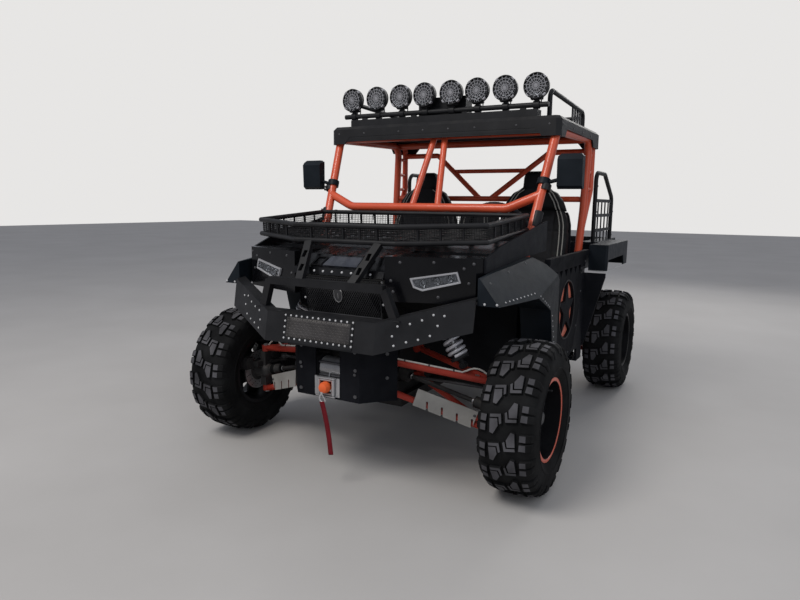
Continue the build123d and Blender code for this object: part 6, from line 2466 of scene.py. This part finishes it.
@dataclass
class Rear:
    """Bed ribs and seams, tailgate ribs and latch, lamp lenses, hitch pin and rack bolts."""

    def bed(self) -> None:
        """Add the pale seam under the fender boxes, floor ribs and rim bolts, all on the tipping bed."""
        seam = bmesh.new()
        for side in SIDES:
            add_box(seam, (side * 0.8025 - 0.057, ahead(1.3975), 0.8635),
                    (side * 0.8025 + 0.057, ahead(1.4010), 0.8690), 0.001)
            add_box(seam, (side * 0.8600 - 0.0016, ahead(1.4000), 0.8635),
                    (side * 0.8600 + 0.0006, ahead(2.0980), 0.8690), 0.0006)
        show(seam, "fender_box_seams", SEAM_PALE, "cargo_bed")
        ribs = bmesh.new()
        for step in range(11):
            x = -0.540 + step * 0.108
            add_box(ribs, (x - 0.017, 0.665, 0.8495), (x + 0.017, 1.412, 0.8560), 0.0028)
        show(ribs, "bed_floor_ribs", FENDER_PLASTIC, "cargo_bed")
        skin = Skin("cargo_bed")
        starts = [(0.8025, ahead(y), 1.2) for y in (1.440, 1.600, 1.760, 1.920, 2.060)]
        starts += [(0.629, ahead(y), 1.2) for y in (1.760, 1.960, 2.160, 2.360)]
        Studs("bed_bolts", Head.DOME, 0.0062, 0.0030).make(skin.spots(starts, (0, 0, -1)), DARK_BOLT,
                                                           "cargo_bed")

    def gate(self) -> None:
        """Press ribs into the tailgate and add its paddle latch."""
        ribs = bmesh.new()
        y = ahead(2.481)
        for x in (-0.430, -0.215, 0.215, 0.430):
            add_box(ribs, (x - 0.070, y - 0.001, 0.872), (x + 0.070, y + 0.0050, 0.900), 0.0020)
            add_box(ribs, (x - 0.070, y - 0.001, 0.925), (x + 0.070, y + 0.0050, 0.953), 0.0020)
        add_box(ribs, (-0.105, y - 0.001, 0.955), (0.105, y + 0.0060, 1.010), 0.0025)
        add_box(ribs, (-0.070, y + 0.003, 0.966), (0.070, y + 0.0110, 0.996), 0.0040)
        show(ribs, "tailgate_ribs", BODY_PLASTIC, "tailgate")

    def lamps(self) -> None:
        """Give the tail lamps a dark rim and ribbed lenses."""
        rims, lenses = bmesh.new(), bmesh.new()
        low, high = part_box("tail_lamps")
        inner = high.x - 0.052
        for side in SIDES:
            middle = side * (high.x + inner) / 2
            wide = (high.x - inner) / 2
            for z in (low.z + 0.003, high.z - 0.003):
                add_box(rims, (middle - wide, high.y - 0.001, z - 0.004),
                        (middle + wide, high.y + 0.0030, z + 0.004), 0.001)
            for end in SIDES:
                x = middle + end * (wide - 0.003)
                add_box(rims, (x - 0.004, high.y - 0.001, low.z), (x + 0.004, high.y + 0.0030, high.z),
                        0.001)
            for step in range(9):
                z = low.z + 0.014 + step * (high.z - low.z - 0.028) / 8
                add_tube(lenses, [(middle - wide + 0.007, high.y, z), (middle + wide - 0.007, high.y, z)],
                         0.0026, 8)
        show(rims, "tail_lamp_rims", BODY_PLASTIC, "cargo_bed")
        show(lenses, "tail_lamp_ribs", LENS_RED, "cargo_bed")

    def hitch(self) -> None:
        """Pin the hitch receiver and ring its mouth."""
        work = bmesh.new()
        low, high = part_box("hitch_receiver")
        z = (low.z + high.z) / 2
        y = high.y - 0.050
        add_rod(work, 0.0078, -0.047, 0.047, frame_of((0, y, z), (1, 0, 0)), 16)
        ring = [(0.047, y, z), (0.056, y, z - 0.006), (0.058, y, z - 0.026), (0.050, y, z - 0.036),
                (0.043, y, z - 0.030)]
        add_tube(work, ring, 0.0026, 8)
        show(work, "hitch_pin", ZINC)

    def racks(self) -> None:
        """Bolt the side racks' uprights."""
        places = [(ahead(y), z) for y in (1.702, 2.258) for z in (1.060, 1.230, 1.400)]
        uprights = Skin("bed_racks").from_left(places)
        Studs("rack_bolts", Head.DOME, 0.0065, 0.0034).make(uprights, DARK_BOLT, "cargo_bed")

    def build(self) -> None:
        """Build the rear's details."""
        self.bed()
        self.gate()
        self.lamps()
        self.hitch()
        self.racks()


@dataclass
class Cabin:
    """Dash dials, switches and vents, the steering wheel's grip and cover, and the mirrors' glass."""

    wheel_at: tuple[float, float, float] = (0.360, ahead(0.815), 1.128)
    tilt: float = 33.0
    rim_radius: float = 0.172

    def wheel(self) -> None:
        """Wrap the rim in ribbed grip and give the hub its cover."""
        axis = Vector((0, math.cos(math.radians(self.tilt)), math.sin(math.radians(self.tilt))))
        place = frame_of(self.wheel_at, axis)
        work = bmesh.new()
        for step in range(48):
            angle = 2 * math.pi * step / 48
            if step % 12 in (0, 6):
                continue
            at = place @ on_circle(self.rim_radius, angle)
            along = place.to_3x3() @ Vector((-math.sin(angle), math.cos(angle), 0))
            add_lathe(work, [(0.0135, -0.0040), (0.0152, -0.0025), (0.0152, 0.0025), (0.0135, 0.0040)],
                      frame_of(at, along), 12, True)
        add_lathe(work, [(0.0, 0.010), (0.034, 0.010), (0.040, 0.016), (0.038, 0.026), (0.0, 0.030)], place,
                  32)
        show(work, "wheel_grip", TYRE_RUBBER, "steering_wheel")

    def on_dash(self, skin: Skin, x: float, z: float) -> Matrix:
        """Return the place on the dash's face at an x and a height, its Z running out of the face."""
        spot = skin.spots([(x, ahead(1.2), z)], (0, -1, 0), False)[0]
        return frame_of(spot.at, spot.facing)

    def dash(self) -> None:
        """Add the dials, switches and vents to the dash."""
        skin = Skin("dashboard")
        pods, faces = bmesh.new(), bmesh.new()
        for x, z, radius in ((0.360, 1.075, 0.052), (0.095, 1.045, 0.028), (0.030, 1.045, 0.028)):
            hit = self.on_dash(skin, x, z)
            add_lathe(pods, [(radius + 0.006, -0.004), (radius + 0.006, 0.012), (radius + 0.002, 0.016),
                             (radius, 0.014), (radius, 0.004), (0.0, 0.004)], hit, 40)
            add_rod(faces, radius - 0.001, 0.0052, 0.0060, hit, 40)
        for step in range(6):
            place = self.on_dash(skin, -0.085 + step * 0.034, 0.985)
            add_box(pods, (-0.012, -0.019, -0.002), (0.012, 0.019, 0.006), 0.002, place)
            add_box(faces, (-0.008, -0.014, 0.003), (0.008, 0.014, 0.009), 0.002, place)
        for x in (-0.500, -0.300, 0.520):
            for step in range(5):
                place = self.on_dash(skin, x, 1.030 + step * 0.011)
                add_box(pods, (-0.042, -0.0022, -0.002), (0.042, 0.0022, 0.006), 0.001, place)
        show(pods, "dash_pods", BODY_PLASTIC)
        show(faces, "dash_dials", LIGHT_TRIM)

    def mirrors(self) -> None:
        """Give each mirror its glass and bezel."""
        skins, bezels = bmesh.new(), bmesh.new()
        for side in SIDES:
            x = side * 0.802
            add_box(skins, (x - 0.054, ahead(0.6480), 1.366), (x + 0.054, ahead(0.6520), 1.516), 0.0015)
            add_box(bezels, (x - 0.060, ahead(0.6400), 1.358), (x + 0.060, ahead(0.6510), 1.524), 0.0035)
        show(bezels, "mirror_bezels", BODY_PLASTIC)
        show(skins, "mirror_glass", MIRROR_SKIN)

    def build(self) -> None:
        """Build the cabin's details."""
        self.wheel()
        self.dash()
        self.mirrors()


@dataclass
class RoofTop:
    """Ribs, front seal, skirt bolts and a wire tray on the roof."""

    top: float = 1.7345
    skirt_z: float = 1.690

    def build(self) -> None:
        """Build the roof's details."""
        ribs = bmesh.new()
        for step in range(7):
            x = -0.450 + step * 0.150
            add_box(ribs, (x - 0.022, ahead(0.850), self.top), (x + 0.022, ahead(1.560), self.top + 0.0060),
                    0.0028)
        show(ribs, "roof_ribs", ROOF_PLASTIC)
        wires = bmesh.new()
        for step in range(20):
            y = ahead(0.870 + step * 0.034)
            add_tube(wires, [(-0.560, y, self.top + 0.011), (0.560, y, self.top + 0.011)], 0.0020, 5)
        show(wires, "roof_tray_wires", BLACK_STEEL)
        seal = bmesh.new()
        add_box(seal, (-0.616, ahead(0.6935), 1.6460), (0.616, ahead(0.6980), 1.6740), 0.0018)
        add_tube(seal, [(-0.614, ahead(0.6965), 1.6465), (0.614, ahead(0.6965), 1.6465)], 0.0036, 10)
        show(seal, "roof_front_seal", ROOF_PLASTIC)
        skin = Skin("roof_panel")
        spots = skin.spots([(x, ahead(0.4), self.skirt_z) for x in (0.660, 0.480, 0.240, 0.080)], (0, 1, 0))
        spots += skin.from_left([(ahead(y), self.skirt_z) for y in (0.740, 0.960, 1.170, 1.380, 1.590)])
        Studs("valance_bolts", Head.DOME, 0.0060, 0.0030).make(spots, DARK_BOLT)


@dataclass
class Underbody:
    """Engine fins and belt covers, and the bolts of the arm guards and the skid plate."""

    def engine(self) -> None:
        """Fin the engine block, and add its top cover and the rings of its belt cover."""
        low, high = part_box("engine_block")
        fins = bmesh.new()
        for step in range(9):
            z = low.z + 0.070 + step * 0.022
            add_box(fins, (low.x - 0.006, low.y + 0.030, z - 0.003),
                    (high.x + 0.006, high.y - 0.030, z + 0.003), 0.0012)
        add_box(fins, (low.x + 0.040, low.y + 0.060, high.z - 0.002),
                (high.x - 0.040, high.y - 0.060, high.z + 0.004), 0.0018)
        show(fins, "engine_fins", CAST_IRON)
        drums = bmesh.new()
        for y, radius in ((low.y + 0.150, 0.085), (high.y - 0.140, 0.105)):
            place = frame_of((low.x - 0.002, y, low.z + 0.170), (-1, 0, 0))
            add_lathe(drums, [(0.0, 0.012), (0.020, 0.012), (0.024, 0.008), (radius - 0.010, 0.008),
                              (radius, 0.005), (radius, -0.004)], place, 40)
        show(drums, "belt_cover_rings", DARK_BOLT)

    def bolts(self) -> None:
        """Bolt the arm guards and the skid plate."""
        guards = Skin("arm_guards").from_ahead(((0.300, 0.392), (0.590, 0.280), (0.300, 0.350),
                                                (0.590, 0.316)))
        Studs("guard_bolts", Head.DOME, 0.0070, 0.0034).make(guards, DARK_BOLT)
        wedge = Skin("skid_plate").from_ahead(((0.150, 0.420), (0.150, 0.540), (0.150, 0.635),
                                               (0.255, 0.500), (0.255, 0.610)))
        Studs("wedge_bolts", Head.HEX, 0.0085, 0.0090).make(wedge, DARK_BOLT)

    def build(self) -> None:
        """Build the details under the body."""
        self.engine()
        self.bolts()


@dataclass
class Cage:
    """Bolted clamps on the cage's pillars."""

    clamps: tuple[tuple[Point, Point, float], ...] = (
        ((0.6757, ahead(0.6186), 1.3600), (0.0500, 0.1640, 0.3940), 0.017),
        ((0.6549, ahead(0.5503), 1.1960), (0.0500, 0.1640, 0.3940), 0.043),
    )
    tube: float = 0.0222

    def build(self) -> None:
        """Build the clamps."""
        work = bmesh.new()
        for at, along, half in self.clamps:
            for side in SIDES:
                place = frame_of((side * at[0], at[1], at[2]), (side * along[0], along[1], along[2]))
                outer = self.tube + 0.0062
                add_lathe(work, [(self.tube, -half), (outer - 0.0007, -half), (outer, 0.003 - half),
                                 (outer, half - 0.003), (outer - 0.0007, half), (self.tube, half)], place,
                          28, True)
                for end in SIDES:
                    z = end * (half - 0.008)
                    add_box(work, (self.tube + 0.002, -0.009, z - 0.004),
                            (self.tube + 0.018, 0.009, z + 0.004), 0.002, place)
        show(work, "pillar_clamps", BLACK_STEEL)


def main() -> None:
    """Build the studio, then every sub-assembly in order."""
    logging.basicConfig(level=logging.INFO, format="%(message)s")
    Studio().build()
    Bodywork().build()
    for assembly in (Wheels(), RoofLamps(), Bumper(), Nose(), WinchGear(), Seats(), Suspension(), Basket(),
                     Doors(), Fenders(), Rear(), Cabin(), RoofTop(), Underbody(), Cage()):
        assembly.build()


if __name__ == "__main__":
    main()
